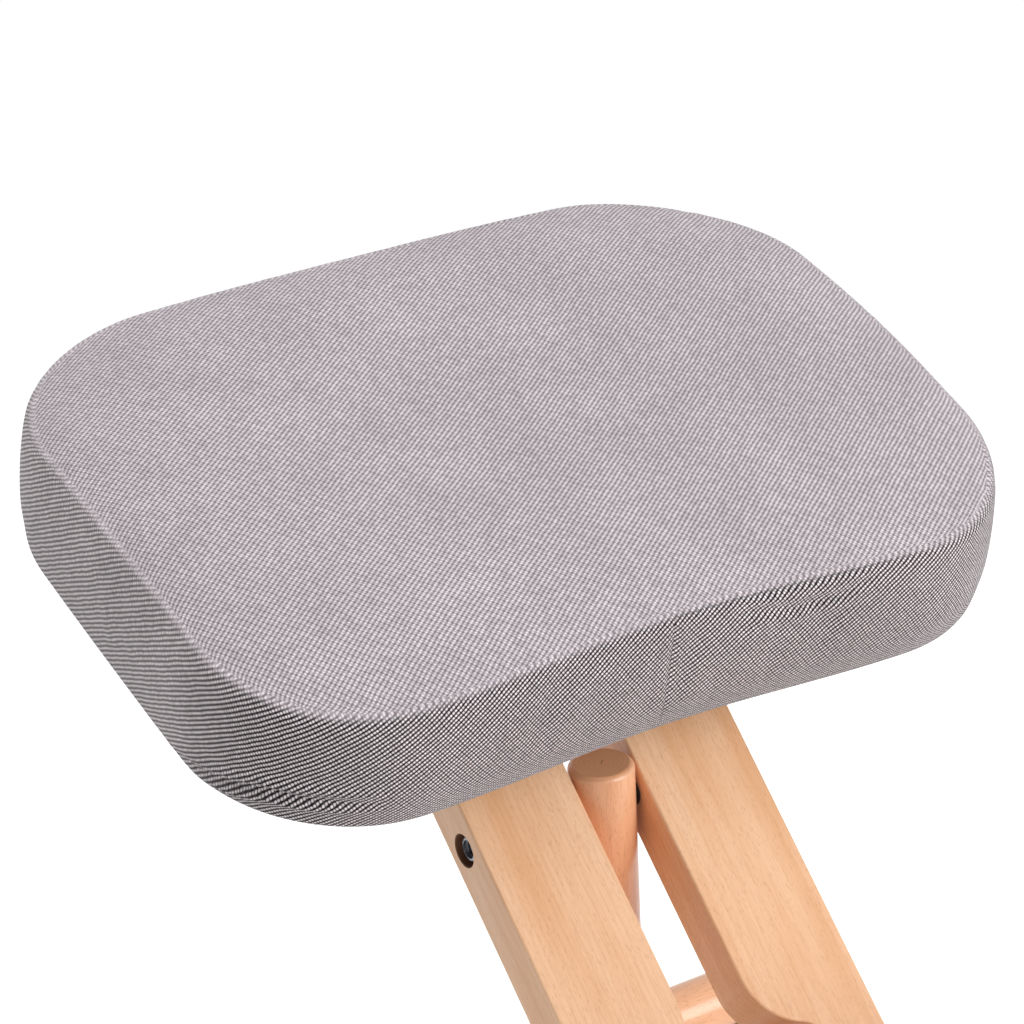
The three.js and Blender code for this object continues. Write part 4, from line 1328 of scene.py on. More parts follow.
@dataclass
class Fasteners:
    """Every bolt, nut, washer, spacer and glide, each on the piece that it holds."""

    layout: Layout
    stock: Stock
    seat: SeatRails
    knee: KneeRails
    pivot: Bolt = Bolt(8.0, 13.0, 7.0, 6.0, thread_share=0.12)
    bar: Bolt = Bolt(6.0, 10.0, 6.0, 5.0, pitch=1.0, thread_share=0.3)
    board: Bolt = Bolt(6.0, 10.5, 4.0, 4.0, 14.8, 1.2, pitch=1.0)
    clamp: Bolt = Bolt(7.8, 19.0, 4.5, thread_share=0.13, drive=Drive.NONE)
    nut_flats: float = 13.0
    nut_height: float = 6.5
    nut_rim: float = 1.1
    nut_mouth: float = 2.4
    nut_lead: float = 0.6
    nut_flare: float = 1.6
    nut_thread: float = 0.35
    nut_overrun: float = 1.0
    bolt_end_recess: float = 3.0
    washer: float = 24.0
    washer_edge: float = 0.3
    clamp_washer: float = 24.0
    clamp_washer_thickness: float = 1.6
    spacer: float = 16.0
    spacer_edge: float = 0.2
    sleeve: float = 16.0
    sleeve_edge: float = 0.6
    knob_grip: float = 15.0
    glide: float = 28.0
    glide_height: float = 5.0
    glide_from_end: float = 30.0
    glide_pin: float = 5.0
    glide_pin_length: float = 16.0
    glide_rim: float = 1.4
    glide_chamfer: float = 0.4
    nut_end_ease: float = 0.5
    driver_slot: tuple[float, float, float] = (3.0, 12.0, 1.5)

    def bolt(self, node: str, kind: Bolt, length: float, place: Matrix, axes: Matrix) -> None:
        """Makes one bolt for a node."""
        piece = new_piece(f"turned_{node}", kind.form(length), axes @ place, dressed_in(ZINC))
        cutters = kind.cutters()
        if cutters:
            combined(piece, cutters, axes @ place, "DIFFERENCE", None)
        stands_for(smoothed(piece), node)

    def ringlet(self, node: str, form: Form, place: Matrix, axes: Matrix, finish: PlainFinish) -> None:
        """Makes one washer, spacer or sleeve for a node."""
        piece = new_piece(f"turned_{node}", form, axes @ place, dressed_in(finish))
        stands_for(smoothed(piece), node)

    def nut(self, node: str, place: Matrix, axes: Matrix) -> None:
        """Makes a hexagon nut with both rims chamfered and a threaded bore."""
        flats = self.nut_flats / 2
        corner = self.nut_flats / math.sqrt(3)
        rise = (corner - flats) * 0.6
        height = self.nut_height
        stand = axes @ place
        profile = [(0, 0), (flats, 0), (corner, rise), (corner, height - rise), (flats, height), (0, height)]
        below, above = -self.nut_overrun, height + self.nut_overrun
        blank = hexagonal(self.nut_flats, below, above)
        piece = new_piece(f"faced_{node}", blank, stand, dressed_in(ZINC))
        combined(piece, [Cut(turned(profile))], stand, "INTERSECT", None)
        bore = hole(self.stock.pivot_bolt) / 2
        pitch = self.pivot.pitch
        thread = [(0.0, below), (bore + self.nut_flare, below), (bore, self.nut_lead)]
        turns = int((height - self.nut_mouth - self.nut_lead) / pitch)
        for turn in range(turns):
            low = self.nut_lead + turn * pitch
            thread += [(bore + self.nut_thread, low + 0.5 * pitch), (bore, low + pitch)]
        mouth = flats - self.nut_rim
        floor = height - self.nut_mouth
        thread += [(bore, floor), (mouth, floor), (mouth, above), (0.0, above)]
        combined(piece, [Cut(turned(thread, SMALL_SIDES))], stand, "DIFFERENCE", None)
        stands_for(smoothed(piece), node)

    def pivots(self) -> None:
        """The two long bolts across the wide rails, their nuts on the left."""
        axes = self.layout.seat_frame
        seat = self.stock.rail_outer - self.seat.counterbore_depth + CLEARANCE
        length = 2 * seat + self.nut_height - self.bolt_end_recess
        for name, along in (("top_pivot", 0.0), ("cross_pivot", -self.layout.cross_along)):
            self.bolt(f"{name}_bolt", self.pivot, length, aimed((seat, along, 0), (1, 0, 0)), axes)
            self.nut(f"{name}_nut", aimed((-seat, along, 0), (-1, 0, 0)), axes)

    def crossing(self) -> None:
        """The washers and the sleeve round the cross bolt."""
        axes = self.layout.knee_frame
        along = -self.knee.cross_along
        bore = hole(self.stock.pivot_bolt)
        washer = ring(self.washer, bore, self.stock.pivot_washer, self.washer_edge)
        for label, side in SIDES.items():
            place = aimed((side * (self.stock.knee_outer + CLEARANCE), along, 0), (side, 0, 0))
            self.ringlet(f"cross_pivot_washer_{label}", washer, place, axes, NYLON)
        inner = self.stock.rail_inner - CLEARANCE
        sleeve = ring(self.sleeve, bore, 2 * inner, self.sleeve_edge)
        self.ringlet("cross_pivot_sleeve", sleeve, aimed((-inner, along, 0), (1, 0, 0)), axes, ZINC)

    def post_fittings(self) -> None:
        """The spacers beside the post, the clamp's washers and its bolt."""
        axes = Matrix.Translation(self.layout.top)
        bore = hole(self.stock.pivot_bolt)
        near = self.stock.round_stock / 2 + CLEARANCE
        far = self.stock.knee_outer + CLEARANCE
        foot = -self.layout.post_length
        thickness = self.stock.post_side_gap - 2 * CLEARANCE
        spacer = ring(self.spacer, bore, thickness, self.spacer_edge)
        washer = ring(self.clamp_washer, bore, self.clamp_washer_thickness, self.washer_edge)
        for label, side in SIDES.items():
            way = (side, 0, 0)
            for name, height in (("top_pivot", 0.0), ("clamp", foot)):
                place = aimed((side * near, 0, height), way)
                self.ringlet(f"{name}_spacer_{label}", spacer, place, axes, NYLON)
            self.ringlet(f"clamp_washer_{label}", washer, aimed((side * far, 0, foot), way), axes, ZINC)
        length = 2 * self.clamp_seat + self.knob_grip
        self.bolt("clamp_bolt", self.clamp, length, aimed((self.clamp_seat, 0, foot), (1, 0, 0)), axes)

    @property
    def clamp_seat(self) -> float:
        """Where the clamp bolt's head bears, from the middle."""
        return self.stock.knee_outer + self.clamp_washer_thickness + 2 * CLEARANCE

    def bar_bolts(self) -> None:
        """The bolts that draw the bars onto the rails, with their barrel nuts."""
        under = self.stock.bar_under_head
        frames = (("front", self.layout.seat_frame, -self.seat.foot_along, 1, self.stock.leg_middle),
                  ("rear", self.layout.knee_frame, 0.0, -1, self.stock.knee_middle))
        length = under + self.stock.barrel_nut_from_bar + self.stock.barrel_nut
        for name, axes, along, way, middle in frames:
            head = along - way * (under + CLEARANCE)
            nut = along + way * self.stock.barrel_nut_from_bar
            for label, side in SIDES.items():
                x = side * middle
                place = aimed((x, head, 0), (0, -way, 0))
                self.bolt(f"{name}_bar_bolt_{label}", self.bar, length, place, axes)
                self.barrel_nut(f"{name}_barrel_nut_{label}", x, nut, side, axes)

    def barrel_nut(self, node: str, x: float, along: float, side: int, axes: Matrix) -> None:
        """Makes one barrel nut with its cross bore and the slot in its outer end."""
        half = self.stock.barrel_nut_length / 2
        ease = self.nut_end_ease
        radius = self.stock.barrel_nut / 2
        form = turned([(0, -half), (radius - ease, -half), (radius, ease - half), (radius, half - ease),
                       (radius - ease, half), (0, half)], SMALL_SIDES)
        stand = aimed((x, along, 0), (side, 0, 0))
        piece = new_piece(f"turned_{node}", form, axes @ stand, dressed_in(ZINC))
        reach = self.stock.barrel_nut
        bore = rod(hole(self.stock.bar_bolt), -reach, reach, SMALL_SIDES)
        through = Cut(bore, aimed((x, along, 0), (0, 1, 0)))
        slot = Cut(block(self.driver_slot), Matrix.Translation((x + side * half, along, 0)))
        combined(piece, [through, slot], axes, "DIFFERENCE", None)
        stands_for(smoothed(piece), node)

    def board_bolts(self) -> None:
        """The flanged bolts that hold both boards, their heads below."""
        flange_top = self.stock.board - CLEARANCE
        seat_head = self.seat.underside - self.seat.wood_under_head - CLEARANCE
        knee_head = -self.stock.dust_cover - 2 * CLEARANCE - self.knee.wood_under_head
        for name, axes, places, head in (("seat", self.layout.seat_unit, self.seat.bolt_places(), seat_head),
                                         ("knee", self.knee.pad_unit, self.knee.bolt_places(), knee_head)):
            for number, (x, y) in enumerate(places, 1):
                place = aimed((x, y, head), (0, 0, -1))
                self.bolt(f"{name}_bolt_{number}", self.board, flange_top - head, place, axes)

    def glides(self) -> None:
        """The pads under the bars, each with its pin."""
        half = self.glide / 2
        rim = half - self.glide_chamfer
        top = self.glide_pin_length - self.stock.round_stock / 2 - CLEARANCE
        saddle = rod(self.stock.round_stock + 2 * CLEARANCE, -self.glide * 2, self.glide * 2)
        for end in ("front", "rear"):
            centre = self.layout.bar_centre(end)
            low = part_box(f"{end}_foot_bar")[0].x / MM
            axes = Matrix.Translation(centre)
            middle = centre.z / 2
            pad = turned([(0, 0), (half - self.glide_rim, 0), (rim, self.glide_chamfer),
                          (half, self.glide_rim), (half, middle), (0, middle)])
            pin = rod(self.glide_pin, self.glide_height / 2 - centre.z, top, SMALL_SIDES)
            for label, side in SIDES.items():
                x = side * (-low - self.glide_from_end)
                stand = aimed((x, 0, -centre.z), (0, 0, 1))
                piece = new_piece(f"moulded_{end}_glide_{label}", pad, axes @ stand, dressed_in(RUBBER))
                combined(piece, [Cut(saddle, aimed((x, 0, 0), (1, 0, 0)))], axes, "DIFFERENCE", None)
                combined(piece, [Cut(pin, aimed((x, 0, 0), (0, 0, 1)))], axes, "UNION", None)
                stands_for(smoothed(piece), f"{end}_glide_{label}")

    def build(self) -> None:
        """Makes all of them."""
        self.pivots()
        self.crossing()
        self.post_fittings()
        self.bar_bolts()
        self.board_bolts()
        self.glides()


@dataclass
class Knob:
    """The lobed hand knob of the clamp, on the left of the chair."""

    layout: Layout
    fasteners: Fasteners
    diameter: float = 46.0
    lobe_depth: float = 3.2
    lobes: int = 7
    rim: float = 3.0
    thickness: float = 16.0
    neck: float = 24.0
    neck_length: float = 9.0
    dish: float = 1.2
    lobe_steps: int = 24

    def outline(self) -> np.ndarray:
        """The lobed outline of the grip."""
        angles = np.linspace(0, 2 * math.pi, self.lobes * self.lobe_steps, endpoint=False)
        radius = (self.diameter - self.lobe_depth + self.lobe_depth * np.cos(self.lobes * angles)) / 2
        return np.column_stack([radius * np.cos(angles), radius * np.sin(angles)])

    def build(self) -> None:
        """Makes the knob with its neck, dished face and blind bore."""
        centre = self.layout.clamp + Vector((-self.fasteners.clamp_seat - CLEARANCE, 0, 0))
        axes = Matrix.Translation(centre) @ Matrix.Rotation(-math.pi / 2, 4, "Y")
        grip = extruded(self.outline(), self.thickness, self.rim)
        grip = grip.moved(Matrix.Translation((0, 0, self.neck_length)))
        knob = new_piece("moulded_clamp_knob", grip, axes, dressed_in(KNOB_PLASTIC))
        up = aimed((0, 0, 0), (0, 0, 1))
        wide = self.neck / 2
        high = self.neck_length
        neck = turned([(0, 0), (wide - 1, 0), (wide, 1), (wide, high - 2), (wide + 2, high + 0.5),
                       (0, high + self.thickness / 2)])
        combined(knob, [Cut(neck, up)], axes, "UNION", None)
        top = high + self.thickness
        floor = top - self.dish
        bolt = hole(self.fasteners.stock.pivot_bolt)
        bore = rod(bolt, -OVERRUN, self.fasteners.knob_grip + CLEARANCE, SMALL_SIDES)
        inner, outer = self.diameter * 0.26, self.diameter * 0.29
        dish = turned([(0, floor), (inner, floor), (outer, top + 1), (0, top + 1)])
        combined(knob, [Cut(bore, up), Cut(dish, up)], axes, "DIFFERENCE", None)
        stands_for(smoothed(knob), "clamp_knob")


# Upholstery


def read(rows: bpy.types.bpy_prop_collection, name: str, width: int, kind: type = float) -> np.ndarray:
    """Reads a value of each of a mesh's points, as rows of a width."""
    flat = np.empty(len(rows) * width, kind)
    rows.foreach_get(name, flat)
    return flat.reshape(-1, width)


@dataclass(frozen=True)
class Crease:
    """A fold in the boxing. Its points lie along it from the upright seam and down it from the ridge."""

    points: tuple[tuple[float, float], ...]
    depth: float
    width: float
    fullness: float = 0.5

    def push(self, laid: np.ndarray) -> np.ndarray:
        """How far each spot moves out of the surface: in along the fold, out on both sides of it."""
        nearest = np.full(len(laid), np.inf)
        taper = np.zeros(len(laid))
        route = np.array(self.points, float)
        count = len(route) - 1
        for number in range(count):
            start, end = route[number], route[number + 1]
            way = end - start
            share = np.clip((laid - start) @ way / (way @ way), 0, 1)
            distance = np.linalg.norm(laid - start - share[:, None] * way, axis=1)
            closer = distance < nearest
            nearest = np.where(closer, distance, nearest)
            taper = np.where(closer, np.sin(math.pi * (0.06 + 0.88 * (number + share) / count)), taper)
        valley = -np.exp(-(nearest / self.width) ** 2)
        banks = self.fullness * np.exp(-((nearest - 2 * self.width) / self.width) ** 2)
        return self.depth * taper * (valley + banks)


@dataclass(frozen=True)
class Plan:
    """A cushion from above: corners rounded, front and rear drawn in at the middle, sides bowed out."""

    width: float
    depth: float
    front_radius: float
    rear_radius: float
    waist: float
    rear_waist: float = 0.0
    bow: float = 0.0
    quarter_points: int = 64
    line_steps: int = 41

    def outline(self, inset: float) -> np.ndarray:
        """The outline drawn in by an inset, as evenly spaced points from the front left corner's middle."""
        half_width = self.width / 2 - inset
        half_depth = self.depth / 2 - inset
        front = self.front_radius - inset
        rear = self.rear_radius - inset
        quarter = math.pi / 4
        corners = [(-half_width + front, front - half_depth, front, 5 * quarter),
                   (half_width - front, front - half_depth, front, 7 * quarter),
                   (half_width - rear, half_depth - rear, rear, quarter),
                   (rear - half_width, half_depth - rear, rear, 3 * quarter)]
        drawn = {0: (self.waist, half_width - front), 2: (-self.rear_waist, half_width - rear)}
        points = []
        for number, (x, y, radius, middle) in enumerate(corners):
            after = corners[(number + 1) % 4]
            stretch = arc((x, y), radius, middle, middle + quarter)
            end = arc(after[:2], after[2], after[3] - quarter, after[3])
            leaves, meets = np.array(stretch[-1]), np.array(end[0])
            shares = np.linspace(0, 1, self.line_steps + 1)[1:-1]
            run = np.array(stretch + [tuple(leaves + (meets - leaves) * share) for share in shares] + end)
            if number in drawn:
                amount, straight = drawn[number]
                share = np.clip(np.abs(run[:, 0]) / straight, 0, 1)
                run[:, 1] += amount * (1 + np.cos(math.pi * share)) / 2
            run[:, 0] += self.bow * (run[:, 0] / half_width) ** 3 * (1 - (run[:, 1] / half_depth) ** 2)
            steps = np.concatenate([[0], np.cumsum(np.linalg.norm(np.diff(run, axis=0), axis=1))])
            wanted = np.linspace(0, steps[-1], self.quarter_points, endpoint=False)
            points.append(np.column_stack([np.interp(wanted, steps, run[:, axis]) for axis in (0, 1)]))
        return np.vstack(points)


@dataclass
class Cushion:
    """A foam cushion in its woven cover over a board, on axes with the hem on z = 0.

    The cover sits on its own axes, a little turned and moved from the board's. Its ridge rises towards the
    middle of each side, so that the corners droop.
    """

    name: str
    plan: Plan
    board: Plan
    board_axes: Matrix
    cover_shift: Matrix
    ridge: float
    crown: float
    lean: float
    side_rise: float = 0.0
    end_rise: float = 0.0
    corner_lean: float = 0.0
    corner_turn: float = 57.0
    corner_spread: float = 22.0
    corner_from: float = 0.2
    lean_from: float = 0.45
    lean_power: float = 2.4
    top_turn: float = math.radians(80)
    creases: tuple[Crease, ...] = ()
    seam_x: float = -4.0
    softness: float = 4.5
    hem: float = 3.0
    tuck: float = 2.4
    tuck_height: float = 26.0
    board_inset: float = 8.5
    board_room: float = 12.3
    wrap_start: float = 12.0
    wrap: float = 38.0
    cloth_gap: float = 0.02
    side_rows: int = 12
    bulge: float = 1.2
    cap: float = 6.0
    pressure: float = 3.0
    seam_hold: float = 0.6
    growth: float = -0.004
    seam_depth: float = 0.06
    gathered: tuple[float, float, float, float] = (-0.26, -0.16, 0.7, 0.95)
    gather_from: float = 14.0
    gather_reach: float = 20.0
    gather_rate: float = 0.045

    @property
    def hem_row(self) -> int:
        """The row where the side ends and the hem begins."""
        return len(RIDGE_TURNS) + self.side_rows + 1

    def shares(self, flat: np.ndarray) -> tuple[np.ndarray, np.ndarray]:
        """How far across and how far ahead points lie, as shares of half the width and half the depth."""
        return flat[:, 0] / (self.plan.width / 2), flat[:, 1] / (self.plan.depth / 2)

    def rise(self, flat: np.ndarray) -> np.ndarray:
        """How far the ridge stands above its corners over points seen from above."""
        across, ahead = self.shares(flat)
        at_sides = self.side_rise * across ** 2 * (1 - ahead ** 2)
        return at_sides + self.end_rise * ahead ** 2 * (1 - across ** 2)

    def lifted(self, flat: np.ndarray, height: float) -> np.ndarray:
        """Stands an outline up at a height, its corners drawn in towards the ridge and its middles raised."""
        share = min(1.0, max(0.0, height / self.ridge))
        across, ahead = self.shares(flat)
        turn = np.degrees(np.arctan2(np.abs(across), -ahead))
        near_corner = np.exp(-((turn - self.corner_turn) / self.corner_spread) ** 2)
        inward = self.corner_lean * near_corner * max(0.0, share - self.corner_from) / (1 - self.corner_from)
        reach = np.maximum(np.hypot(flat[:, 0], flat[:, 1]), 1.0)
        flat = flat * (1 - inward / reach)[:, None]
        return np.column_stack([flat, height + share * self.rise(flat)])

    def side_inset(self, height: float) -> float:
        """How far the side stands in at a height: tucked in below, drawn in at the ridge, full between."""
        share = height / self.ridge
        lean = self.lean * max(0.0, (share - self.lean_from) / (1 - self.lean_from)) ** self.lean_power
        tucked = self.tuck * max(0.0, 1 - height / self.tuck_height) ** 2
        return lean + tucked - self.bulge * math.sin(math.pi * min(1.0, share)) ** 2 * 0.5

    def rings(self) -> tuple[list[np.ndarray], list[float]]:
        """The closed rows of points from the ridge down the side, round the hem and in under the board.

        Returns:
            The rows and the height of each.
        """
        soft = self.softness
        outer = []
        for degrees in RIDGE_TURNS:
            turn = math.radians(degrees)
            outer.append((self.lean + soft * (1 - math.cos(turn)), self.ridge - soft * (1 - math.sin(turn))))
        top = self.ridge - soft
        for step in range(self.side_rows + 1):
            height = top + (self.hem - top) * step / self.side_rows
            outer.append((self.side_inset(height), height))
        low = -CLEARANCE + self.cloth_gap
        at_hem = self.side_inset(self.hem)
        for degrees in HEM_TURNS:
            turn = math.radians(degrees)
            inset = at_hem + self.hem * (1 - math.cos(turn))
            outer.append((inset, self.hem - (self.hem - low) * math.sin(turn)))
        lower = (self.wrap_start, self.wrap / 2, self.wrap - 1, self.wrap)
        upper = (self.wrap, self.wrap - 1, self.wrap / 2, self.board_inset + 1)
        heights = (-self.cloth_gap, 1.0, self.board_room - 1, self.board_room)
        inner = [(inset, low) for inset in lower]
        inner += [(inset, -self.cloth_gap) for inset in upper]
        inner += [(self.board_inset, height) for height in heights]
        rows = [self.lifted(self.plan.outline(inset), height) for inset, height in outer]
        to_cover = np.array(self.cover_shift.inverted())
        for inset, height in inner:
            flat = self.board.outline(inset)
            spots = np.column_stack([flat, np.full(len(flat), height), np.ones(len(flat))])
            rows.append((spots @ to_cover.T)[:, :3])
        return rows, [height for _, height in outer + inner]

    def top_grid(self) -> tuple[np.ndarray, list[tuple[int, ...]], list[int]]:
        """The crowned top.

        Returns:
            Its points, its faces and the row of points along its edge.
        """
        count = self.plan.quarter_points
        level = self.ridge - self.softness * (1 - math.sin(self.top_turn))
        inset = self.lean + self.softness * (1 - math.cos(self.top_turn))
        edge = self.lifted(self.plan.outline(inset), level)[:, :2]
        closed = np.vstack([edge, edge[:1]])
        steps = np.linspace(-1, 1, count + 1)
        points = []
        for v in steps:
            for u in steps:
                reach = max(abs(u), abs(v))
                if reach < NOTHING:
                    points.append((0.0, 0.0, self.crown))
                    continue
                a, b = u / reach, v / reach
                if b <= -1 + NOTHING:
                    place = (a + 1) / 2
                elif a >= 1 - NOTHING:
                    place = 1 + (b + 1) / 2
                elif b >= 1 - NOTHING:
                    place = 2 + (1 - a) / 2
                else:
                    place = 3 + (1 - b) / 2
                spot = place * count
                low = int(min(spot, 4 * count - 1e-6))
                share = spot - low
                x, y = (closed[low] * (1 - share) + closed[low + 1] * share) * reach
                points.append((x, y, self.crown * (1 - reach ** 3)))
        points = np.array(points)
        points[:, 2] += level + self.rise(points) * level / self.ridge
        row = count + 1
        faces = [(j * row + i, j * row + i + 1, (j + 1) * row + i + 1, (j + 1) * row + i)
                 for j in range(count) for i in range(count)]
        rim = list(range(count)) + [j * row + count for j in range(count)]
        rim += [count * row + i for i in range(count, 0, -1)] + [j * row for j in range(count, 0, -1)]
        return points, faces, rim

    def mesh(self) -> bpy.types.Object:
        """Builds the cover before it is filled, with its cloth map and its marks."""
        points, faces, rim = self.top_grid()
        top_faces = len(faces)
        rows, heights = self.rings()
        count = len(rim)
        loops = [rim]
        start = len(points)
        for _ in rows:
            loops.append(list(range(start, start + count)))
            start += count
        for upper, lower in zip(loops, loops[1:]):
            for step in range(count):
                after = (step + 1) % count
                faces.append((upper[step], lower[step], lower[after], upper[after]))
        inner = loops[-1]
        for step in range(count // 2 - 1):
            faces.append((inner[step], inner[step + 1], inner[count - 2 - step], inner[count - 1 - step]))
        points = np.vstack([points, *rows])
        mesh = bpy.data.meshes.new(self.name)
        mesh.from_pydata((points * MM).tolist(), [], faces)
        self.map_cloth(mesh, loops, points, top_faces)
        piece = bpy.data.objects.new(self.name, mesh)
        bpy.context.scene.collection.objects.link(piece)
        piece.matrix_world = in_metres(self.board_axes @ self.cover_shift)
        mesh.materials.append(dressed_in(COVER))
        self.mark(mesh, loops, heights)
        return piece

    def map_cloth(self, mesh: bpy.types.Mesh, loops: list[list[int]], points: np.ndarray,
                  top_faces: int) -> None:
        """Lays the cloth: flat over the top, and along the boxing from its seam, gathered at the hem."""
        layer = mesh.uv_layers.new(name=CLOTH_MAP)
        count = len(loops[0])
        edge = self.plan.outline(0.0)
        lengths = np.linalg.norm(np.roll(edge, -1, axis=0) - edge, axis=1)
        along = np.concatenate([[0], np.cumsum(lengths)])
        front = np.argmin(np.abs(edge[:count // 4, 0] - self.seam_x))
        along_left = (along[:-1] - along[front]) % along[-1]
        spots = [points[loop] for loop in loops]
        drops = [np.linalg.norm(low - high, axis=1).mean() for high, low in zip(spots, spots[1:])]
        down = np.concatenate([[0], np.cumsum(drops)])
        below = np.clip(down - down[self.hem_row] + self.gather_from, 0, self.gather_reach)
        gather = self.gather_rate * below ** 2
        half = along[-1] / 2
        signed = (along_left + half) % along[-1] - half
        start, full, fading, gone = (limit * half for limit in self.gathered)
        slack = np.interp(signed, (-half, start, full, fading, gone, half), (0, 0, 1, 1, 0, 0))
        uv = np.zeros((len(mesh.loops), 2))
        for polygon in mesh.polygons:
            corners = range(polygon.loop_start, polygon.loop_start + polygon.loop_total)
            side_face = polygon.index - top_faces
            if not 0 <= side_face < count * (len(loops) - 1):
                for corner in corners:
                    spot = points[mesh.loops[corner].vertex_index]
                    uv[corner] = spot[:2]
                continue
            level, step = divmod(side_face, count)
            left = along_left[step]
            right = left + lengths[step]
            after = (step + 1) % count
            for corner, (x, row, spot) in zip(corners, ((left, level, step), (left, level + 1, step),
                                                        (right, level + 1, after), (right, level, after))):
                uv[corner] = (x, -down[row] - slack[spot] * gather[row])
        layer.data.foreach_set("uv", (uv * MM).ravel())
        laid = np.tile(OFF_BOXING, (len(points), 1))
        for loop, depth in zip(loops, down):
            laid[loop, 0] = signed
            laid[loop, 1] = depth
        mesh.attributes.new(LAID_MARK, "FLOAT_VECTOR", "POINT").data.foreach_set("vector", laid.ravel())

    def mark(self, mesh: bpy.types.Mesh, loops: list[list[int]], heights: list[float]) -> None:
        """Marks how far each point belongs to the side, is held while filling and belongs to the seam."""
        side, hold, seam = (np.zeros(len(mesh.vertices), np.float32) for _ in range(3))
        for number, loop in enumerate(loops):
            height = heights[number - 1] if number else self.ridge
            near_ridge = math.exp(-((height - self.ridge + self.softness / 2) / self.softness) ** 2)
            near_hem = min(1.0, max(0.0, 1 - (height - HEM_HOLD) / (2 * HEM_HOLD)))
            below = number > self.hem_row
            side[loop] = min(1.0, number / 3)
            hold[loop] = 1.0 if below else max(near_hem, self.seam_hold * near_ridge)
        for loop, share in zip(loops, SEAM_SHARES):
            seam[loop] = share
        for name, values in ((SIDE_MARK, side), (HOLD_MARK, hold), (SEAM_MARK, seam)):
            mesh.attributes.new(name, "FLOAT", "POINT").data.foreach_set("value", values)

    def filled(self, piece: bpy.types.Object) -> None:
        """Blows the cover up against its foam as cloth, its hem held, and keeps the change under a cap."""
        mesh = piece.data
        rest = read(mesh.vertices, "co", 3)
        held = piece.vertex_groups.new(name="held")
        hold = read(mesh.attributes[HOLD_MARK].data, "value", 1, np.float32)[:, 0]
        for index in np.flatnonzero(hold):
            held.add([int(index)], float(hold[index]), "REPLACE")
        cloth = piece.modifiers.new("fill", "CLOTH")
        chosen = {
            "quality": 6, "mass": 0.3, "tension_stiffness": 25, "compression_stiffness": 25,
            "shear_stiffness": 8, "bending_stiffness": 1.5, "use_pressure": True,
            "uniform_pressure_force": self.pressure, "shrink_min": self.growth,
            "vertex_group_mass": held.name,
        }
        for name, value in chosen.items():
            setattr(cloth.settings, name, value)
        cloth.settings.effector_weights.gravity = 0
        cloth.collision_settings.use_collision = False
        cloth.collision_settings.use_self_collision = False
        cloth.point_cache.frame_start = 1
        cloth.point_cache.frame_end = FILL_FRAMES
        scene = bpy.context.scene
        for step in range(1, FILL_FRAMES + 1):
            scene.frame_set(step)
        graph = bpy.context.evaluated_depsgraph_get()
        after = read(piece.evaluated_get(graph).to_mesh().vertices, "co", 3)
        piece.evaluated_get(graph).to_mesh_clear()
        piece.modifiers.clear()
        piece.vertex_groups.clear()
        scene.frame_set(1)
        change = (after - rest) / MM
        size = np.linalg.norm(change, axis=1, keepdims=True)
        log.info("%s: cloth moved %.1f mm at most, %.1f mm on average", piece.name, size.max(), size.mean())
        limited = change / np.sqrt(1 + (size / self.cap) ** 2)
        mesh.vertices.foreach_set("co", (rest + limited * MM).ravel())
        mesh.update()

    def finished(self, piece: bpy.types.Object) -> None:
        """Divides the cover once more and lays its folds, the ridge's gathers and the upright seam."""
        finer = piece.modifiers.new("finer", "SUBSURF")
        finer.levels = 1
        finer.render_levels = 1
        applied(piece)
        mesh = piece.data
        spots = read(mesh.vertices, "co", 3) / MM
        normals = read(mesh.vertex_normals, "vector", 3)
        laid = read(mesh.attributes[LAID_MARK].data, "vector", 3)[:, :2]
        push = np.zeros(len(spots))
        for crease in self.creases:
            push += crease.push(laid)
        seam = read(mesh.attributes[SEAM_MARK].data, "value", 1, np.float32)[:, 0]
        turn = np.arctan2(spots[:, 1], spots[:, 0])
        gathers = 1.0
        for strength, number, start in GATHERS:
            gathers = gathers + strength * np.sin(turn * number + start)
        push += self.seam_depth * seam * gathers
        above = np.clip(spots[:, 2] / HEM_HOLD, 0, 1)
        mesh.vertices.foreach_set("co", ((spots + normals * (push * above)[:, None]) * MM).ravel())
        mesh.shade_smooth()
        mesh.update()

    def build(self, node: str) -> None:
        """Makes the cushion for a node and says how full it is."""
        piece = self.mesh()
        self.filled(piece)
        self.finished(piece)
        stands_for(piece, node)


# Studio


@dataclass(frozen=True)
class Lamp:
    """A square soft box that hangs at a place and points at another."""

    name: str
    place: tuple[float, float, float]
    aim: tuple[float, float, float]
    size: float
    power: float

    def hang(self) -> None:
        """Hangs it."""
        data = bpy.data.lights.new(self.name, "AREA")
        data.shape = "SQUARE"
        data.size = self.size
        data.energy = self.power
        lamp = bpy.data.objects.new(self.name, data)
        bpy.context.scene.collection.objects.link(lamp)
        lamp.location = self.place
        lamp.rotation_mode = "QUATERNION"
        lamp.rotation_quaternion = (Vector(self.aim) - Vector(self.place)).to_track_quat("-Z", "Y")


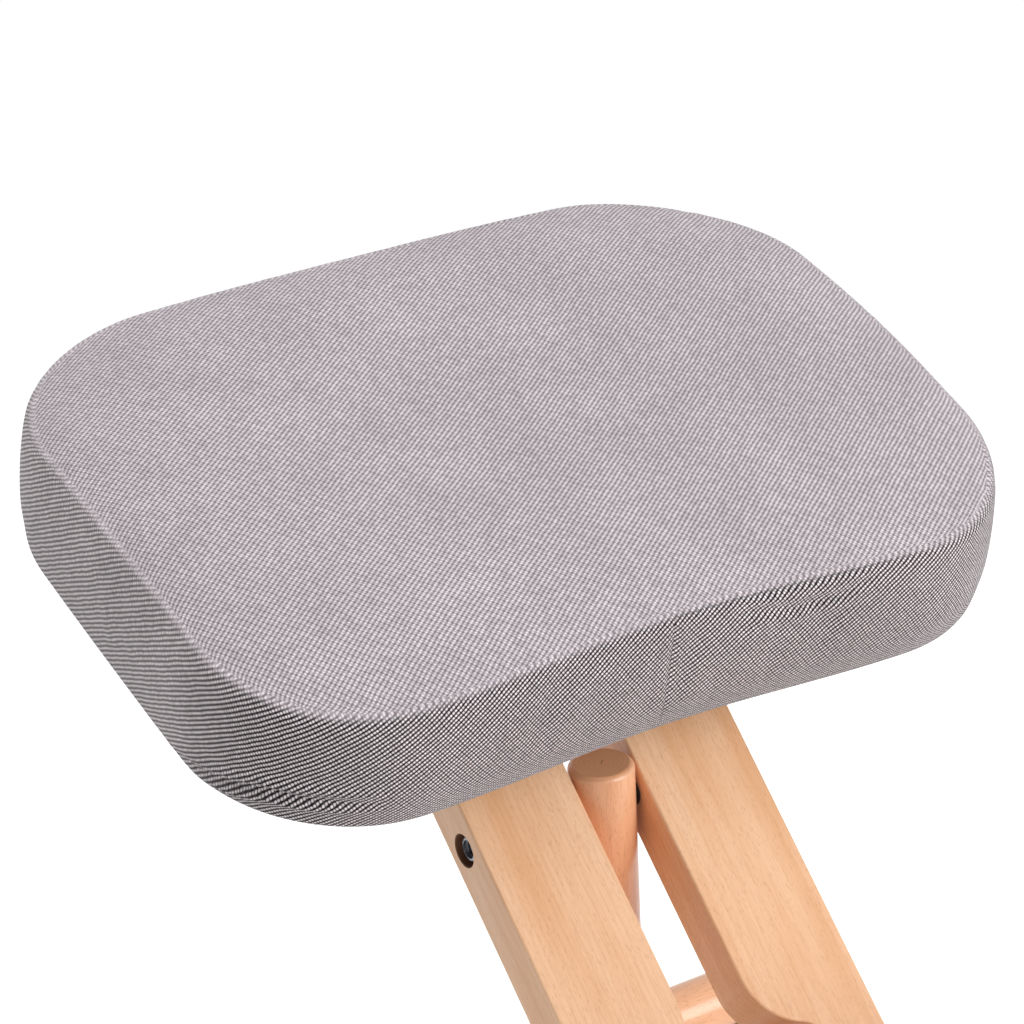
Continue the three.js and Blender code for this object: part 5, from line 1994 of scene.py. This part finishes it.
@dataclass
class Studio:
    """The pale floor, the soft light and the camera of the photograph."""

    layout: Layout
    post_head: float = 25.0
    from_post: tuple[float, float, float] = (-0.9258, -1.4776, 0.9778)
    yaw: float = math.radians(30.68)
    pitch: float = math.radians(25.22)
    roll: float = math.radians(-2.92)
    lens: float = 125.92
    sensor: float = 36.0
    floor_size: float = 16.0
    floor_grey: float = 0.8
    floor_glow: float = 0.52
    fade_from: float = 0.9
    fade_to: float = 1.9
    sky_light: float = 0.48
    lamps: tuple[Lamp, ...] = (
        Lamp("key", (-0.5, 0.9, 2.9), (0, 0, 0.35), 2.2, 33),
        Lamp("front", (1.3, -2.4, 1.3), (0, -0.1, 0.35), 2.0, 73),
        Lamp("left", (-2.0, -0.3, 2.7), (0, 0, 0.5), 1.2, 4),
    )

    def floor(self) -> None:
        """A wide white floor that keeps the chair's shadow."""
        half = self.floor_size / MM / 2
        corners = [(-half, -half, 0), (half, -half, 0), (half, half, 0), (-half, half, 0)]
        form = Form(np.array(corners, float), [(0, 1, 2, 3)])
        material = bpy.data.materials.new("studio_floor")
        material.use_nodes = True
        material.node_tree.nodes.clear()
        graph = Graph(material.node_tree)
        grey = (self.floor_grey, self.floor_grey, self.floor_grey, 1)
        plain = graph.wired("ShaderNodeBsdfDiffuse", {"Color": grey}).outputs[0]
        glow = graph.wired("ShaderNodeEmission", {"Strength": self.floor_glow}).outputs[0]
        lit = graph.wired("ShaderNodeAddShader", {0: plain, 1: glow}).outputs[0]
        white = graph.node("ShaderNodeEmission").outputs[0]
        x, y, _ = graph.parts(graph.node("ShaderNodeTexCoord").outputs["Object"])
        fade = graph.span(graph.reach(x, y), self.fade_from, self.fade_to)
        faded = graph.wired("ShaderNodeMixShader", {0: fade, 1: lit, 2: white}).outputs[0]
        surface = graph.wired("ShaderNodeMixShader", {0: self.seen(graph), 1: plain, 2: faded}).outputs[0]
        graph.wired("ShaderNodeOutputMaterial", {"Surface": surface})
        new_piece("studio_floor", form, Matrix(), material)

    @staticmethod
    def seen(graph: Graph) -> bpy.types.NodeSocket:
        """1 for what the camera sees itself or in a gloss or through glass."""
        path = graph.node("ShaderNodeLightPath").outputs
        direct = graph.maths("MAXIMUM", path["Is Camera Ray"], path["Is Glossy Ray"])
        return graph.maths("MAXIMUM", direct, path["Is Transmission Ray"])

    def backdrop(self) -> None:
        """A world that lights evenly and looks white behind the floor."""
        world = bpy.data.worlds.new("studio")
        bpy.context.scene.world = world
        world.use_nodes = True
        graph = Graph(world.node_tree)
        sockets = {"Color": (1, 1, 1, 1), "Strength": 1.0}
        white = graph.wired("ShaderNodeBackground", sockets).outputs[0]
        sockets["Strength"] = self.sky_light
        light = graph.wired("ShaderNodeBackground", sockets).outputs[0]
        surface = graph.wired("ShaderNodeMixShader", {0: self.seen(graph), 1: light, 2: white}).outputs[0]
        graph.feed(world.node_tree.nodes["World Output"].inputs["Surface"], surface)

    def camera(self) -> None:
        """Stands the camera where the photograph was taken from."""
        data = bpy.data.cameras.new("camera")
        data.lens = self.lens
        data.sensor_width = self.sensor
        camera = bpy.data.objects.new("camera", data)
        bpy.context.scene.collection.objects.link(camera)
        level = math.cos(self.pitch)
        ahead = Vector((math.sin(self.yaw) * level, math.cos(self.yaw) * level, -math.sin(self.pitch)))
        right = Vector((math.cos(self.yaw), -math.sin(self.yaw), 0))
        up = right.cross(ahead)
        turn = Matrix.Rotation(-self.roll, 3, ahead)
        axes = Matrix((turn @ right, turn @ up, -ahead)).transposed().to_4x4()
        head = self.layout.top + Vector((0, 0, self.post_head))
        axes.translation = head * MM + Vector(self.from_post)
        camera.matrix_world = axes
        bpy.context.scene.camera = camera

    def build(self) -> None:
        """Sets the studio up."""
        bpy.context.scene.view_settings.view_transform = "Standard"
        self.floor()
        self.backdrop()
        for lamp in self.lamps:
            lamp.hang()
        self.camera()


SEAT_CREASES = (
    Crease(((40, 5), (62, 4), (90, 3), (130, 3)), 1.0, 2.0, 0.7),
    Crease(((40, 11), (56, 15), (76, 18), (104, 17), (128, 9)), 1.3, 3.0, 0.7),
    Crease(((-300, 78), (-272, 70), (-252, 64), (-235, 59), (-205, 57), (-175, 59)), 2.9, 3.0, 0.9),
    Crease(((0, 2), (0, 36), (0, 72)), 0.9, 1.5, 0.4),
)
SEAT_PLAN = Plan(496.6, 370.6, 95.5, 110.3, 6.8, 1.2, 2.4)
SEAT_BOARD = Plan(498, 370, 98, 114, 11)
KNEE_PLAN = Plan(450, 205, 66, 66, 6)


def dress_frame() -> None:
    """Gives the boards and the tee nuts, which stay as packed, their finishes."""
    finishes = {"_board": BIRCH_PLY, "_tee_nut_": ZINC, "_dust_cover": LINING}
    for name, node in frame["nodes"].items():
        for words, finish in finishes.items():
            if words in name:
                node.data.materials.clear()
                node.data.materials.append(dressed_in(finish))
                log.info("%s is dressed in %s", name, finish.name)


def main() -> None:
    """Builds the chair's looks in order, then the studio."""
    layout = Layout.from_frame()
    stock = Stock()
    seat = SeatRails(layout, stock)
    knee = KneeRails(layout, stock)
    fasteners = Fasteners(layout, stock, seat, knee)
    seat.build()
    knee.build()
    RoundStock(layout, stock).build()
    fasteners.build()
    Knob(layout, fasteners).build()
    shift = Matrix.Translation((-1.6, -3.0, 0)) @ Matrix.Rotation(math.radians(-0.7), 4, "Z")
    Cushion("sewn_seat_cushion", SEAT_PLAN, SEAT_BOARD, layout.seat_unit, shift,
            ridge=67.3, crown=10.0, lean=1.7, side_rise=14.5, end_rise=12.1,
            corner_lean=2.5, creases=SEAT_CREASES).build("seat_cushion")
    Cushion("sewn_knee_cushion", KNEE_PLAN, KNEE_PLAN, knee.pad_unit, Matrix(),
            ridge=46.5, crown=6.0, lean=4.0, side_rise=4.0, end_rise=3.0,
            hem=4.0).build("knee_cushion")
    dress_frame()
    Studio(layout).build()


if __name__ == "__main__":
    logging.basicConfig(level=logging.INFO, format="%(relativeCreated)6d ms  %(message)s")
    main()
